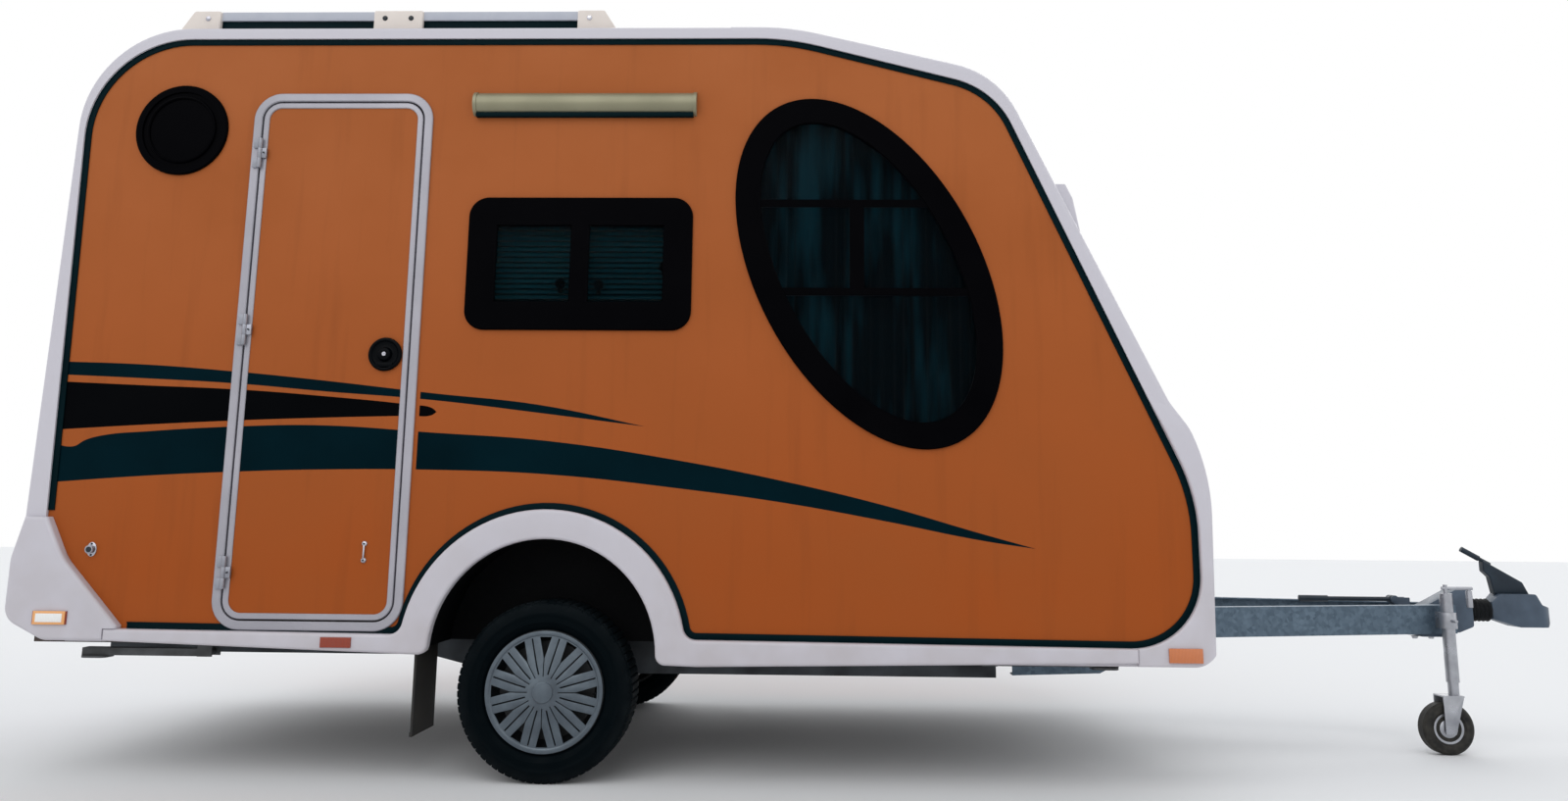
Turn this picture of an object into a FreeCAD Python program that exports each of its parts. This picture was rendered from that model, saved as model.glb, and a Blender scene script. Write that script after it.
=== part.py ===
import FreeCAD
import Part

import math
import os

from FreeCAD import Vector

# Small single-axle caravan with a teardrop side: orange sandwich side walls in white moulded edge shells,
# on a steel chassis with a converging drawbar, parked on its road wheels and its jockey wheel.
# Millimetres. +X points to the coupling, +Z up, and the door is in the right-hand wall, towards -Y.
# Places along X are first measured from the axle, and save() moves them to the middle of the whole length.

# Clearances and overruns
fit_gap = 0.3
moving_gap = 6.0
running_clearance = 0.05
overrun = 60.0

# Whole trailer: the wheels, what stands on them, and how far the body reaches from the axle
tyre_radius = 300.0
floor_above_axle = 145.0
cabin_height = 2217.0
rear_overhang = 1839.0
front_overhang = 2236.0
body_half_width = 975.0
drawbar_reach = 1264.0
wall = 28.0
skin = 25.0
floor_under = tyre_radius + floor_above_axle
roof_height = floor_under + cabin_height
rear_foot_x = -rear_overhang
nose_x = front_overhang
arm_tip_x = nose_x + drawbar_reach
side_face_y = -body_half_width
inner_face_y = side_face_y + wall

# Side outline of the body: rear, roof, brow above the front window, nose
rear_lean_run = 49.0
rear_top_radius = 388.0
brow_setback = 673.0
brow_drop = 181.0
brow_radius = 319.0
roof_break_setback = 758.0
roof_break_radius = 918.0
nose_rise = 615.0
nose_radius = 669.0
nose_tuck = 16.0
outline_drop = 145.0
rear_top_x = rear_foot_x + rear_lean_run
brow_x = nose_x - brow_setback
brow_height = roof_height - brow_drop
roof_break_x = brow_x - roof_break_setback
nose_height = floor_under + nose_rise
nose_foot_x = nose_x - nose_tuck
outline_foot = floor_under - outline_drop

# Seal line: how far the edge of the side panel's visible face lies inside the body outline
band_rear_top = 14.0
band_rear_foot = 93.0
band_roof = 43.4
band_brow_x = 10.0
band_brow_height = 56.5
band_nose_x = 29.3
band_nose_height = 89.3
seal_rear_radius = 369.0
seal_brow_radius = 305.0
seal_nose_radius = 610.0
seal_foot_radius = 240.0
seal_front_rise = 21.0
seal_rear_rise = 52.0
seal_width = 22.0
seal_proud = 5.0
seal_front_foot = floor_under + seal_front_rise
seal_rear_foot = floor_under + seal_rear_rise

# Edge shells: full-width skins whose lips return over the side walls
lip = 12.0
lip_round = 26.0
rear_lip_round = 11.0
front_step = 8.0
nose_step = 12.0
nose_round = 8.0
front_seam_setback = 209.0
rear_seam_drop = 472.0
nose_seam_rise = 270.0
shell_rise = 7.0
nose_drop = 35.0
nose_corner_radius = 90.0
drawbar_gap_margin = 37.0
front_seam_x = roof_break_x - front_seam_setback
rear_seam_height = roof_height - rear_seam_drop
nose_seam_height = nose_height + nose_seam_rise
shell_foot = floor_under + shell_rise
nose_foot = floor_under - nose_drop

# Sill and wheel arch moulding
arch_offset = 5.0
arch_rise = 123.0
arch_gap = 85.0
arch_band = 100.0
arch_flare = 45.0
arch_toe_radius = 34.0
sill_proud = 35.0
sill_rear_inset = 339.0
sill_front_inset = 251.0
sill_rear_rise = 10.0
sill_middle_drop = 52.0
sill_middle_run = 40.0
sill_front_drop = 25.0
sill_lap = 16.0
sill_round = 11.0
arch_centre_x = -arch_offset
arch_centre_height = tyre_radius + arch_rise
arch_inner_radius = tyre_radius + arch_gap
arch_outer_radius = arch_inner_radius + arch_band
sill_rear_x = rear_foot_x + sill_rear_inset
sill_front_x = nose_x - sill_front_inset
sill_middle_x = arch_centre_x + arch_outer_radius + sill_middle_run
sill_rear_foot = floor_under + sill_rear_rise
sill_middle_foot = floor_under - sill_middle_drop
sill_front_foot = floor_under - sill_front_drop

# Rear bumper
bumper_proud = 9.0
bumper_rise = 10.0
bumper_tall = 413.0
bumper_top_run = 106.0
bumper_tip_run = 384.0
bumper_tip_tall = 51.0
bumper_round = 70.0
bumper_edge_round = 12.0
bumper_rear_x = rear_foot_x - bumper_proud
bumper_foot = floor_under + bumper_rise
bumper_top = bumper_foot + bumper_tall
bumper_top_front_x = rear_foot_x + bumper_top_run
bumper_tip_x = rear_foot_x + bumper_tip_run
bumper_tip_height = bumper_foot + bumper_tip_tall

# Road wheels
wheel_inset = 110.0
tyre_width = 185.0
tyre_wall_tall = 97.0
tyre_shoulder = 32.0
tyre_crown = 3.0
tyre_tuck = 5.0
tyre_side_run = 14.0
rim_width = 150.0
rim_sheet = 9.0
rim_drop = 31.0
rim_disc_y = 28.0
hub_bore_radius = 40.0
drum_gap = 54.0
cover_gap = 3.0
cover_sheet = 7.0
cover_crown = 20.0
cover_rim_band = 16.0
cover_rim_proud = 4.0
cover_flat_share = 0.46
cover_boss_radius = 35.0
cover_boss_proud = 7.0
cover_boss_round = 3.0
spoke_pairs = 12
window_share = 0.42
window_throat_share = 0.62
window_slit = 3.0
window_start_share = 0.26
spoke_slot = 5.0
slot_start_share = 0.3
wheel_y = body_half_width - wheel_inset
tyre_bead_radius = tyre_radius - tyre_wall_tall
drum_radius = tyre_bead_radius - rim_drop - rim_sheet - drum_gap
cover_radius = tyre_bead_radius - cover_gap

# Floor and wheel boxes
floor_thickness = 40.0
floor_rear_inset = 69.0
floor_front_inset = 306.0
toe_inset = 64.0
toe_rise = 150.0
wheel_box_gap = 87.5
wheel_box_sheet = 10.0
wheel_box_margin = 12.0
floor_rear_x = rear_foot_x + floor_rear_inset
floor_front_x = nose_x - floor_front_inset
toe_front_x = nose_x - toe_inset
wheel_box_inner_y = wheel_y - tyre_width / 2 - wheel_box_gap
wheel_box_radius = arch_inner_radius + wheel_box_margin

# Chassis
rail_height = 120.0
rail_width = 50.0
rail_sheet = 5.0
rail_inset = 240.0
rail_rear_inset = 149.0
rail_rear_height = 62.0
rail_step_start = 500.0
rail_step_end = 260.0
cross_size = 60.0
cross_rear_setback = 130.0
cross_middle_setback = 560.0
cross_front_inset = 636.0
arm_height = 112.0
arm_kick_lag = 32.0
arm_kick_length = 280.0
arm_kick_rise = 122.0
arm_tip_half_gap = 46.0
rail_outer_y = wheel_y - rail_inset
rail_rear_x = rear_foot_x + rail_rear_inset
cross_rear_x = rail_rear_x + cross_rear_setback
cross_front_x = nose_x - cross_front_inset
arm_start_y = rail_outer_y - rail_width / 2
arm_tip_y = arm_tip_half_gap + rail_width / 2
arm_angle = math.atan2(arm_start_y - arm_tip_y, arm_tip_x - cross_front_x)
arm_top = floor_under + arm_kick_rise
arm_foot = arm_top - arm_height

# Torsion axle
beam_flats = 80.0
beam_lead = 165.0
beam_sheet = 6.0
beam_inset = 165.0
beam_turn = 30.0
arm_plate = 32.0
arm_boss_radius = 52.0
arm_web_share = 0.8
spindle_radius = 20.0
backing_lip = 4.0
backing_sheet = 8.0
beam_half_length = wheel_y - beam_inset
backing_radius = drum_radius + backing_lip

# Overrun coupling at the end of the drawbar
housing_lap = 170.0
housing_length = 272.0
housing_shoulder_run = 70.0
housing_nose_length = 60.0
housing_chin_rise = 24.0
housing_rear_tall = 98.0
housing_front_tall = 172.0
housing_round = 12.0
head_plate_sheet = 12.0
head_plate_half_width = 118.0
head_plate_margin = 24.0
draw_tube_drop = 84.0
draw_tube_radius = 25.0
bellows_length = 86.0
bellows_radius = 46.0
bellows_valley_share = 0.78
bellows_folds = 5
head_width = 96.0
head_neck_width = 66.0
head_neck_run = 34.0
head_shoulder_run = 100.0
head_above = 67.0
head_below = 65.0
head_top_run = 172.0
head_brow_run = 22.0
head_brow_drop = 43.0
head_nose_above = 10.0
head_nose_below = 38.0
head_chin_run = 22.0
head_round = 6.0
socket_run = 190.0
socket_radius = 25.2
socket_depth = 46.0
handle_width = 36.0
handle_seat_run = 22.0
handle_seat_length = 140.0
handle_front_run = 22.0
handle_front_rise = 46.0
handle_back_run = 36.0
handle_back_rise = 135.0
handle_heel_rise = 90.0
handle_notch_run = 12.0
handle_notch_rise = 66.0
handle_round = 5.0
handle_rod_radius = 8.0
handle_rod_rise = 116.0
handle_rod_length = 128.0
handle_grip_radius = 11.0
handle_grip_length = 78.0
handle_slope = 29.0
coupling_rear_x = arm_tip_x - housing_lap
housing_front_x = coupling_rear_x + housing_length
draw_tube_height = arm_foot + housing_front_tall - draw_tube_drop
head_rear_x = housing_front_x + bellows_length
socket_x = head_rear_x + socket_run
head_nose_x = socket_x + head_width / 2
middle_x = (bumper_rear_x + head_nose_x) / 2

# Handbrake lever
brake_pivot_lead = 30.0
brake_pivot_lift = 16.0
brake_lever_length = 380.0
brake_lever_radius = 9.0
brake_grip_length = 115.0
brake_grip_radius = 13.0
brake_boss_radius = 16.0
brake_boss_width = 24.0
brake_pin_radius = 6.0
brake_ear_sheet = 9.0
brake_ear_lap = 30.0
brake_ear_drop = 50.0
brake_pivot_x = coupling_rear_x - brake_pivot_lead
brake_pivot_height = arm_top + brake_pivot_lift

# Jockey wheel, clamped to the right-hand drawbar arm
jockey_setback = 62.0
jockey_stand_off = 12.0
jockey_tube_radius = 24.0
jockey_tube_length = 342.0
jockey_inner_radius = 20.0
jockey_inner_lap = 230.0
jockey_fork_drop = 48.0
jockey_wheel_radius = 100.0
jockey_wheel_width = 56.0
jockey_rim_radius = 62.0
jockey_rim_inset = 6.0
jockey_wheel_round = 9.0
jockey_trail = 42.0
jockey_pin_radius = 8.0
jockey_stub_length = 60.0
jockey_cheek = 6.0
crank_rise = 20.0
crank_reach = 92.0
crank_radius = 7.0
crank_step = 1.0
crank_lap = 14.0
crank_grip_radius = 12.0
crank_grip_length = 64.0
crank_grip_clear = 10.0
clamp_height = 62.0
clamp_wall = 9.0
clamp_bolt_radius = 6.0
clamp_bolt_length = 34.0
fork_clearance = 26.0
jockey_x = arm_tip_x - jockey_setback
jockey_fork_top = 2 * jockey_wheel_radius + fork_clearance
jockey_tube_foot = jockey_fork_top + jockey_fork_drop

# Corner steadies, folded up under the floor
steady_outset = 167.0
steady_front_inset = 716.0
steady_rear_inset = 604.0
steady_pivot_drop = 45.0
steady_length = 445.0
steady_width = 42.0
steady_depth = 26.0
steady_sheet = 4.0
steady_pin_radius = 7.0
steady_foot_length = 92.0
steady_foot_width = 78.0
steady_foot_sheet = 8.0
steady_foot_round = 23.0
bracket_plate = 6.0
bracket_length = 120.0
steady_y = rail_outer_y + steady_outset
steady_front_x = nose_x - steady_front_inset
steady_rear_x = rear_foot_x + steady_rear_inset
steady_pivot_height = floor_under - steady_pivot_drop

# Door in the right-hand wall
door_rear_inset = 693.0
door_width = 659.0
door_sill_rise = 49.0
door_head_drop = 255.0
door_frame_radius = 100.0
door_frame_band = 30.0
door_frame_proud = 10.0
door_frame_bevel = 3.0
door_jamb = 8.0
door_edging_band = 20.0
door_edging_depth = 34.0
door_edging_proud = 8.0
door_edging_bevel = 2.5
door_panel_depth = 28.0
door_panel_proud = 3.0
hinge_radius = 8.0
hinge_pin_radius = 3.5
hinge_length = 110.0
hinge_leaf_reach = 24.0
hinge_height_shares = [0.10, 0.54, 0.88]
lock_inset = 117.0
lock_rise = 948.0
lock_radius = 60.0
lock_plate = 10.0
lock_rim_radius = 6.0
lock_knob_radius = 22.0
lock_knob_proud = 20.0
catch_inset = 146.0
catch_rise = 264.0
catch_length = 66.0
catch_width = 22.0
catch_proud = 10.0
catch_round = 7.0
keeper_setback = 438.0
keeper_radius = 14.0
keeper_neck_radius = 7.0
keeper_proud = 20.0
keeper_head = 7.0
door_frame_rear_x = rear_foot_x + door_rear_inset
door_frame_front_x = door_frame_rear_x + door_width
door_frame_foot = floor_under + door_sill_rise
door_frame_top = roof_height - door_head_drop
hinge_x = door_frame_rear_x + door_frame_band + moving_gap
hinge_y = side_face_y - door_frame_proud - hinge_radius - fit_gap

# Side windows
window_setback = 154.0
window_length = 805.0
window_tall = 482.0
window_drop = 648.0
window_radius = 70.0
window_band = 104.0
window_proud = 12.0
window_bevel = 4.0
window_lap = 20.0
window_spigot = 14.0
window_mullion = 68.0
glass = 4.0
oval_setback = 469.0
oval_drop = 908.0
oval_long = 682.0
oval_short = 395.0
oval_tilt = -62.5
oval_band = 95.0
oval_bar = 28.0
oval_bar_rise = 241.0
oval_bar_gap = 321.0
oval_bar_depth = 6.0
oval_mullion = 52.0
oval_mullion_setback = 37.0
porthole_inset = 427.0
porthole_drop = 394.0
porthole_radius = 170.0
porthole_band = 26.0
window_rear_x = door_frame_front_x + window_setback
window_front_x = window_rear_x + window_length
window_top = roof_height - window_drop
window_foot = window_top - window_tall
oval_x = brow_x - oval_setback
oval_height = roof_height - oval_drop
porthole_x = rear_foot_x + porthole_inset
porthole_height = roof_height - porthole_drop

# Rear and front windows
rear_window_margin = 415.0
rear_window_tall = 480.0
rear_window_drop = 1062.0
front_window_margin = 355.0
front_window_tall_share = 0.4227
front_window_drop_share = 0.7178
end_window_radius = 60.0
end_window_band = 48.0
hood_margin = 45.0
hood_height = 200.0
hood_proud = 46.0
hood_foot_proud = 14.0
hood_crest = 56.0
hood_slope_run = 22.0
hood_round = 8.0
rear_window_width = 2 * (body_half_width - rear_window_margin)
rear_window_centre = roof_height - rear_window_drop
front_window_width = 2 * (body_half_width - front_window_margin)

# Blinds and curtains inside the cabin
blind_depth = 18.0
blind_margin = 24.0
blind_stand_off = 2.0
curtain_depth = 34.0
curtain_overhang = 40.0
curtain_head_gap = 61.0
curtain_foot_gap = 48.0
curtain_rod_radius = 8.0
curtain_stand_off = 22.0
curtain_top = oval_height + oval_long - curtain_head_gap
curtain_foot = oval_height - oval_long + curtain_foot_gap
curtain_rear_x = oval_x - oval_short
curtain_front_x = oval_x + oval_short

# Roof rails and roof hatch
rail_bar_inset = 67.0
rail_bar_setback = 306.0
rail_bar_length = 1652.0
rail_bar_rise = 90.0
rail_bar_height = 34.0
rail_bar_width = 30.0
rail_foot_length = 150.0
rail_foot_slope = 50.0
rail_foot_base = 12.0
rail_foot_width = 56.0
rail_foot_bevel = 4.0
rail_foot_sink = 30.0
rail_middle_length = 184.0
hatch_setback = 640.0
hatch_size = 420.0
hatch_height = 52.0
hatch_curb = 20.0
hatch_radius = 50.0
rail_bar_y = body_half_width - rail_bar_inset
rail_bar_rear_x = rear_top_x + rail_bar_setback
rail_bar_front_x = rail_bar_rear_x + rail_bar_length
rail_bar_top = roof_height + rail_bar_rise

# Lamps
lamp_overhang = 5.0
lamp_drop = 251.0
lamp_tall = 86.0
lamp_proud = 32.0
lamp_cap = 12.0
lamp_cap_proud = 3.0
tail_lamp_inset = 195.0
tail_lamp_gap = 20.0
tail_lamp_width = 120.0
tail_lamp_tall = 290.0
tail_lamp_depth = 26.0
tail_lamp_radius = 40.0
tail_lamp_round = 8.0
marker_sheet = 6.0
marker_round = 2.0
side_marker_setback = 207.0
side_marker_length = 104.0
side_marker_tall = 34.0
rear_marker_run = 165.0
rear_marker_rise = 75.0
rear_marker_length = 118.0
rear_marker_tall = 44.0
front_marker_setback = 96.0
front_marker_rise = 38.0
front_marker_length = 110.0
front_marker_tall = 46.0

# Mud flaps
flap_setback = 50.0
flap_sheet = 8.0
flap_width = 230.0
flap_ground_gap = 148.0

os.makedirs("parts", exist_ok=True)
rear_lean = math.atan2(rear_top_x - rear_foot_x, roof_height - outline_foot)
front_rake = math.atan2(nose_x - brow_x, brow_height - nose_height)
front_slope = (brow_height - nose_seam_height) / math.cos(front_rake)
front_window_tall = front_slope * front_window_tall_share
front_window_drop = front_slope * front_window_drop_share


def save(node, *pieces):
    """Move the pieces of one node from the axle to the part's own origin and write them."""
    shape = pieces[0] if len(pieces) == 1 else Part.makeCompound(list(pieces))
    shape = shape.copy()
    shape.translate(Vector(-middle_x, 0, 0))
    shape.exportStep("parts/" + node + ".step")


def mirrored(shape):
    """The same piece on the other side of the trailer."""
    return shape.mirror(Vector(0, 0, 0), Vector(0, 1, 0))


def box(x, y, z):
    """Box between two limits along each axis."""
    corner = Vector(min(x), min(y), min(z))
    return Part.makeBox(max(x) - min(x), max(y) - min(y), max(z) - min(z), corner)


def rounded_outline(corners):
    """Closed wire in the XZ plane through corners (x, z, radius), each rounded by its radius."""
    runs = []
    count = len(corners)
    for number in range(count):
        before, here, after = (Vector(corners[(number + step) % count][0], 0, corners[(number + step) % count][1])
                               for step in (-1, 0, 1))
        radius = corners[number][2]
        into = (before - here).normalize()
        out = (after - here).normalize()
        half = into.getAngle(out) / 2
        reach = radius / math.tan(half)
        middle = (into + out).normalize() * (radius / math.sin(half) - radius)
        runs.append((here + into * reach, here + middle, here + out * reach, radius))
    edges = []
    for number in range(count):
        start, through, end, radius = runs[number]
        if radius > 0:
            edges.append(Part.Arc(start, through, end).toShape())
        following = runs[(number + 1) % count][0]
        if end.distanceToPoint(following) > fit_gap:
            edges.append(Part.LineSegment(end, following).toShape())
    return Part.Wire(edges)


def rounded_rectangle(rear, front, foot, top, radius):
    """Closed wire of an upright rounded rectangle in the XZ plane."""
    return rounded_outline([(rear, foot, radius), (rear, top, radius), (front, top, radius), (front, foot, radius)])


def ellipse_wire(centre_x, centre_height, long_radius, short_radius, tilt):
    """Ellipse in the XZ plane, its long axis turned by tilt degrees above +X."""
    angle = math.radians(tilt)
    centre = Vector(centre_x, 0, centre_height)
    long_end = centre + Vector(math.cos(angle), 0, math.sin(angle)) * long_radius
    short_end = centre + Vector(-math.sin(angle), 0, math.cos(angle)) * short_radius
    return Part.Wire([Part.Ellipse(long_end, short_end, centre).toShape()])


def circle_wire(centre_x, centre_height, radius):
    """Circle in the XZ plane."""
    return Part.Wire([Part.makeCircle(radius, Vector(centre_x, 0, centre_height), Vector(0, 1, 0))])


def face(wire):
    return Part.Face(wire)


def grown(shape, distance):
    """Face inside the outline, moved outwards by a distance, or inwards by a negative one."""
    flat = shape if shape.ShapeType == "Face" else face(shape)
    moved = flat.makeOffset2D(distance)
    return moved.Faces[0] if moved.Faces else face(moved.Wires[0])


def prism(flat, y):
    """Extrude a face of the XZ plane between two places along Y."""
    start = flat.copy()
    start.translate(Vector(0, min(y), 0))
    return start.extrude(Vector(0, max(y) - min(y), 0))


def ring(outer, inner, y):
    """Extrude what lies between two outlines."""
    return prism(outer.cut(inner), y)


def rod(start, end, radius):
    """Round bar between two points."""
    return Part.makeCylinder(radius, start.distanceToPoint(end), start, end - start)


def turned(profile, centre):
    """Revolve a closed profile of (y, radius) points about the Y axis through a centre."""
    points = [centre + Vector(0, y, radius) for y, radius in profile]
    flat = face(Part.makePolygon(points + [points[0]]))
    return flat.revolve(centre, Vector(0, 1, 0), 360)


def rounded(solid, radius, chosen):
    """Round the edges that the test picks."""
    edges = [edge for edge in solid.Edges if chosen(edge)]
    return solid.makeFillet(radius, edges)


def bevelled(solid, size, chosen):
    """Bevel the edges that the test picks."""
    edges = [edge for edge in solid.Edges if chosen(edge)]
    return solid.makeChamfer(size, edges)


def on_plane(shape, origin, right, up):
    """Carry a piece drawn as on the right-hand wall to another plane."""
    inward = up.cross(right)
    matrix = FreeCAD.Matrix(right.x, inward.x, up.x, origin.x,
                            right.y, inward.y, up.y, origin.y,
                            right.z, inward.z, up.z, origin.z,
                            0, 0, 0, 1)
    moved = shape.copy()
    moved.Placement = FreeCAD.Placement(matrix).multiply(moved.Placement)
    return moved


# Outlines that the shells, walls and mouldings share
body_outline = rounded_outline([
    (rear_foot_x, outline_foot, 0),
    (rear_top_x, roof_height, rear_top_radius),
    (roof_break_x, roof_height, roof_break_radius),
    (brow_x, brow_height, brow_radius),
    (nose_x, nose_height, nose_radius),
    (nose_foot_x, outline_foot, 0),
])
seal_outline = rounded_outline([
    (rear_foot_x + band_rear_foot, seal_rear_foot, 0),
    (rear_top_x + band_rear_top, roof_height - band_roof, seal_rear_radius),
    (roof_break_x, roof_height - band_roof, roof_break_radius),
    (brow_x - band_brow_x, brow_height - band_brow_height, seal_brow_radius),
    (nose_x - band_nose_x, nose_height - band_nose_height, seal_nose_radius),
    (nose_x - band_nose_x, seal_front_foot, seal_foot_radius),
])
bumper_outline = rounded_outline([
    (bumper_rear_x, bumper_foot + bumper_round, bumper_round),
    (bumper_rear_x, bumper_top - bumper_round * 2, bumper_round * 2),
    (bumper_rear_x + bumper_round / 2, bumper_top, 0),
    (bumper_top_front_x, bumper_top, 0),
    (bumper_top_front_x + bumper_round, bumper_top - bumper_round * 2, bumper_round * 3),
    (bumper_tip_x, bumper_tip_height, 0),
    (bumper_tip_x, bumper_foot, 0),
    (bumper_rear_x + bumper_round * 2, bumper_foot, bumper_round),
])


def seal_height(x):
    """Height of the seal line along the sill."""
    share = (x - (rear_foot_x + band_rear_foot)) / (nose_x - band_nose_x - rear_foot_x - band_rear_foot)
    return seal_rear_foot + (seal_front_foot - seal_rear_foot) * share


def rear_corner():
    """What lies behind and below the rounded lower corner of the bumper."""
    block = face(rounded_rectangle(rear_foot_x - overrun, bumper_rear_x + 3 * bumper_round, outline_foot,
                                   bumper_foot + 3 * bumper_round, 0))
    return block.cut(grown(bumper_outline, -fit_gap))


def nose_corner():
    """What lies ahead of and below the rounded lower corner of the nose."""
    front = nose_x + front_step + nose_step
    block = face(rounded_rectangle(front - 2 * nose_corner_radius, nose_x + overrun, outline_foot,
                                   nose_foot + 2 * nose_corner_radius, 0))
    kept = face(rounded_outline([
        (sill_front_x, nose_foot, 0),
        (sill_front_x, nose_height, 0),
        (front, nose_height, 0),
        (front, nose_foot, nose_corner_radius),
    ]))
    return block.cut(kept)


def upright_edge(edge):
    """True for an edge that runs straight through a piece along Y."""
    limits = edge.BoundBox
    return limits.YLength > fit_gap and limits.XLength < fit_gap and limits.ZLength < fit_gap


def sill_block():
    """Sill with the full disc of the wheel arch moulding, flared where the arch meets the sill."""
    y = (side_face_y, side_face_y - sill_proud)
    strip = prism(face(rounded_outline([
        (sill_rear_x, sill_rear_foot, 0),
        (sill_rear_x, seal_height(sill_rear_x), 0),
        (sill_front_x, seal_height(sill_front_x), 0),
        (sill_front_x, sill_front_foot, 0),
        (sill_middle_x, sill_middle_foot, 0),
    ])), y)
    arch = prism(face(circle_wire(arch_centre_x, arch_centre_height, arch_outer_radius)), y)
    below = box((sill_rear_x, sill_front_x), (0, 2 * side_face_y),
                (-arch_outer_radius, seal_height(arch_centre_x) - sill_lap))
    block = strip.fuse(arch.cut(below)).removeSplitter()

    def flare(edge):
        centre = edge.CenterOfMass
        beside = abs(abs(centre.x - arch_centre_x) - arch_outer_radius) < arch_flare
        return upright_edge(edge) and beside and centre.z > arch_centre_height + sill_lap

    return rounded(block, arch_flare, flare)


def side_view(block):
    """The face of a block that lies on the side wall, moved to the XZ plane."""
    flat = [side for side in block.Faces
            if side.BoundBox.YLength < fit_gap and abs(side.BoundBox.YMin - side_face_y) < fit_gap][0].copy()
    flat.translate(Vector(0, -side_face_y, 0))
    return flat


def wheel_opening():
    """Round wheel opening, carried straight down below the arch's centre."""
    circle = face(circle_wire(arch_centre_x, arch_centre_height, arch_inner_radius))
    below = face(rounded_rectangle(arch_centre_x - arch_inner_radius, arch_centre_x + arch_inner_radius,
                                   outline_foot, arch_centre_height, 0))
    return circle.fuse(below).removeSplitter().Faces[0]


def make_sills():
    wheel_gap = prism(wheel_opening(), (side_face_y + overrun, side_face_y - sill_proud - overrun))
    solid = sill_block().cut(wheel_gap)

    def toe(edge):
        centre = edge.CenterOfMass
        beside = abs(abs(centre.x - arch_centre_x) - arch_inner_radius) < fit_gap
        return upright_edge(edge) and beside and centre.z < arch_centre_height

    solid = rounded(solid, arch_toe_radius, toe)
    outer_y = side_face_y - sill_proud
    solid = rounded(solid, sill_round, lambda edge: edge.BoundBox.YMax < outer_y + fit_gap)
    save("sills", solid, mirrored(solid))


def visible_side():
    """The part of the side wall that shows between the mouldings."""
    return face(seal_outline).cut(side_view(sill_block())).cut(face(bumper_outline))


def make_seals():
    visible = visible_side().Faces[0]
    solid = ring(visible, grown(visible, -seal_width), (side_face_y, side_face_y - seal_proud))
    across = (side_face_y + overrun, side_face_y - overrun)
    solid = solid.cut(prism(grown(bumper_outline, seal_width + fit_gap), across))
    door_gap = prism(grown(door_frame_outline(), fit_gap), across)
    save("edge_seals", solid.cut(door_gap), mirrored(solid))


def shell(step):
    """Full-width skin with its two lips, standing proud of the body outline by a step."""
    outer = grown(body_outline, step)
    band = ring(outer, grown(body_outline, -skin), (side_face_y, -side_face_y))
    edge = ring(outer, face(seal_outline), (side_face_y, side_face_y - lip))
    whole = band.fuse([edge, mirrored(edge)]).removeSplitter()
    return whole


def lip_edges(edge):
    box_of_edge = edge.BoundBox
    flat = box_of_edge.YLength < fit_gap
    return flat and abs(abs(box_of_edge.YMin) - body_half_width - lip) < fit_gap


def outer_lip_edges(step):
    """Picks the outer of the two outlines of each lip's face."""
    outer = grown(body_outline, step - fit_gap)

    def test(edge):
        if not lip_edges(edge):
            return False
        middle = edge.valueAt((edge.FirstParameter + edge.LastParameter) / 2)
        return not outer.isInside(Vector(middle.x, 0, middle.z), fit_gap / 10, True)

    return test


def drawbar_gap():
    """Space for the drawbar arms to pass under the toe board, through the front shell and the nose moulding."""
    half = rail_outer_y - drawbar_gap_margin
    return box((toe_front_x - overrun, nose_x + overrun), (-half, half), (outline_foot, arm_top + drawbar_gap_margin))


def make_shells():
    whole = shell(0)
    far = nose_x + overrun
    rear = whole.common(box((rear_foot_x - overrun, sill_rear_x - fit_gap), (-far, far),
                            (shell_foot, rear_seam_height)))
    roof = whole.common(box((rear_foot_x - overrun, front_seam_x), (-far, far),
                            (rear_seam_height, roof_height + overrun)))
    origin, right, up = rear_plane()
    rear = rear.cut(on_plane(end_opening(rear_window_width, rear_window_tall), origin, right, up))
    rear = rear.cut(prism(rear_corner(), (-far, far)))
    save("rear_wall", rounded(rear, rear_lip_round, outer_lip_edges(0)))
    save("roof_panel", rounded(roof, rear_lip_round, outer_lip_edges(0)))

    front = shell(front_step).common(box((front_seam_x, far), (-far, far), (nose_foot, roof_height + overrun)))
    origin, right, up = front_plane()
    front = front.cut(on_plane(end_opening(front_window_width, front_window_tall), origin, right, up))
    front = front.cut([drawbar_gap(), sill_block(), mirrored(sill_block()), prism(nose_corner(), (-far, far))])
    save("front_shell", rounded(front, lip_round, outer_lip_edges(front_step)))

    outer = grown(body_outline, front_step + nose_step)
    layer = ring(outer, grown(body_outline, front_step), (side_face_y - lip, -side_face_y + lip))
    cheek = ring(outer, face(seal_outline), (side_face_y - lip, side_face_y - lip - nose_step))
    nose = layer.fuse([cheek, mirrored(cheek)]).removeSplitter()
    nose = nose.common(box((sill_front_x, far), (-far, far), (nose_foot, nose_seam_height)))
    nose = rounded(nose, nose_round, nose_edges)
    save("nose_moulding", nose.cut([drawbar_gap(), prism(nose_corner(), (-far, far))]))


def nose_edges(edge):
    """True for the outer edges of the nose moulding's cheeks."""
    limits = edge.BoundBox
    outside = abs(abs(limits.YMin) - body_half_width - lip - nose_step) < fit_gap
    return outside and limits.YLength < fit_gap


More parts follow.
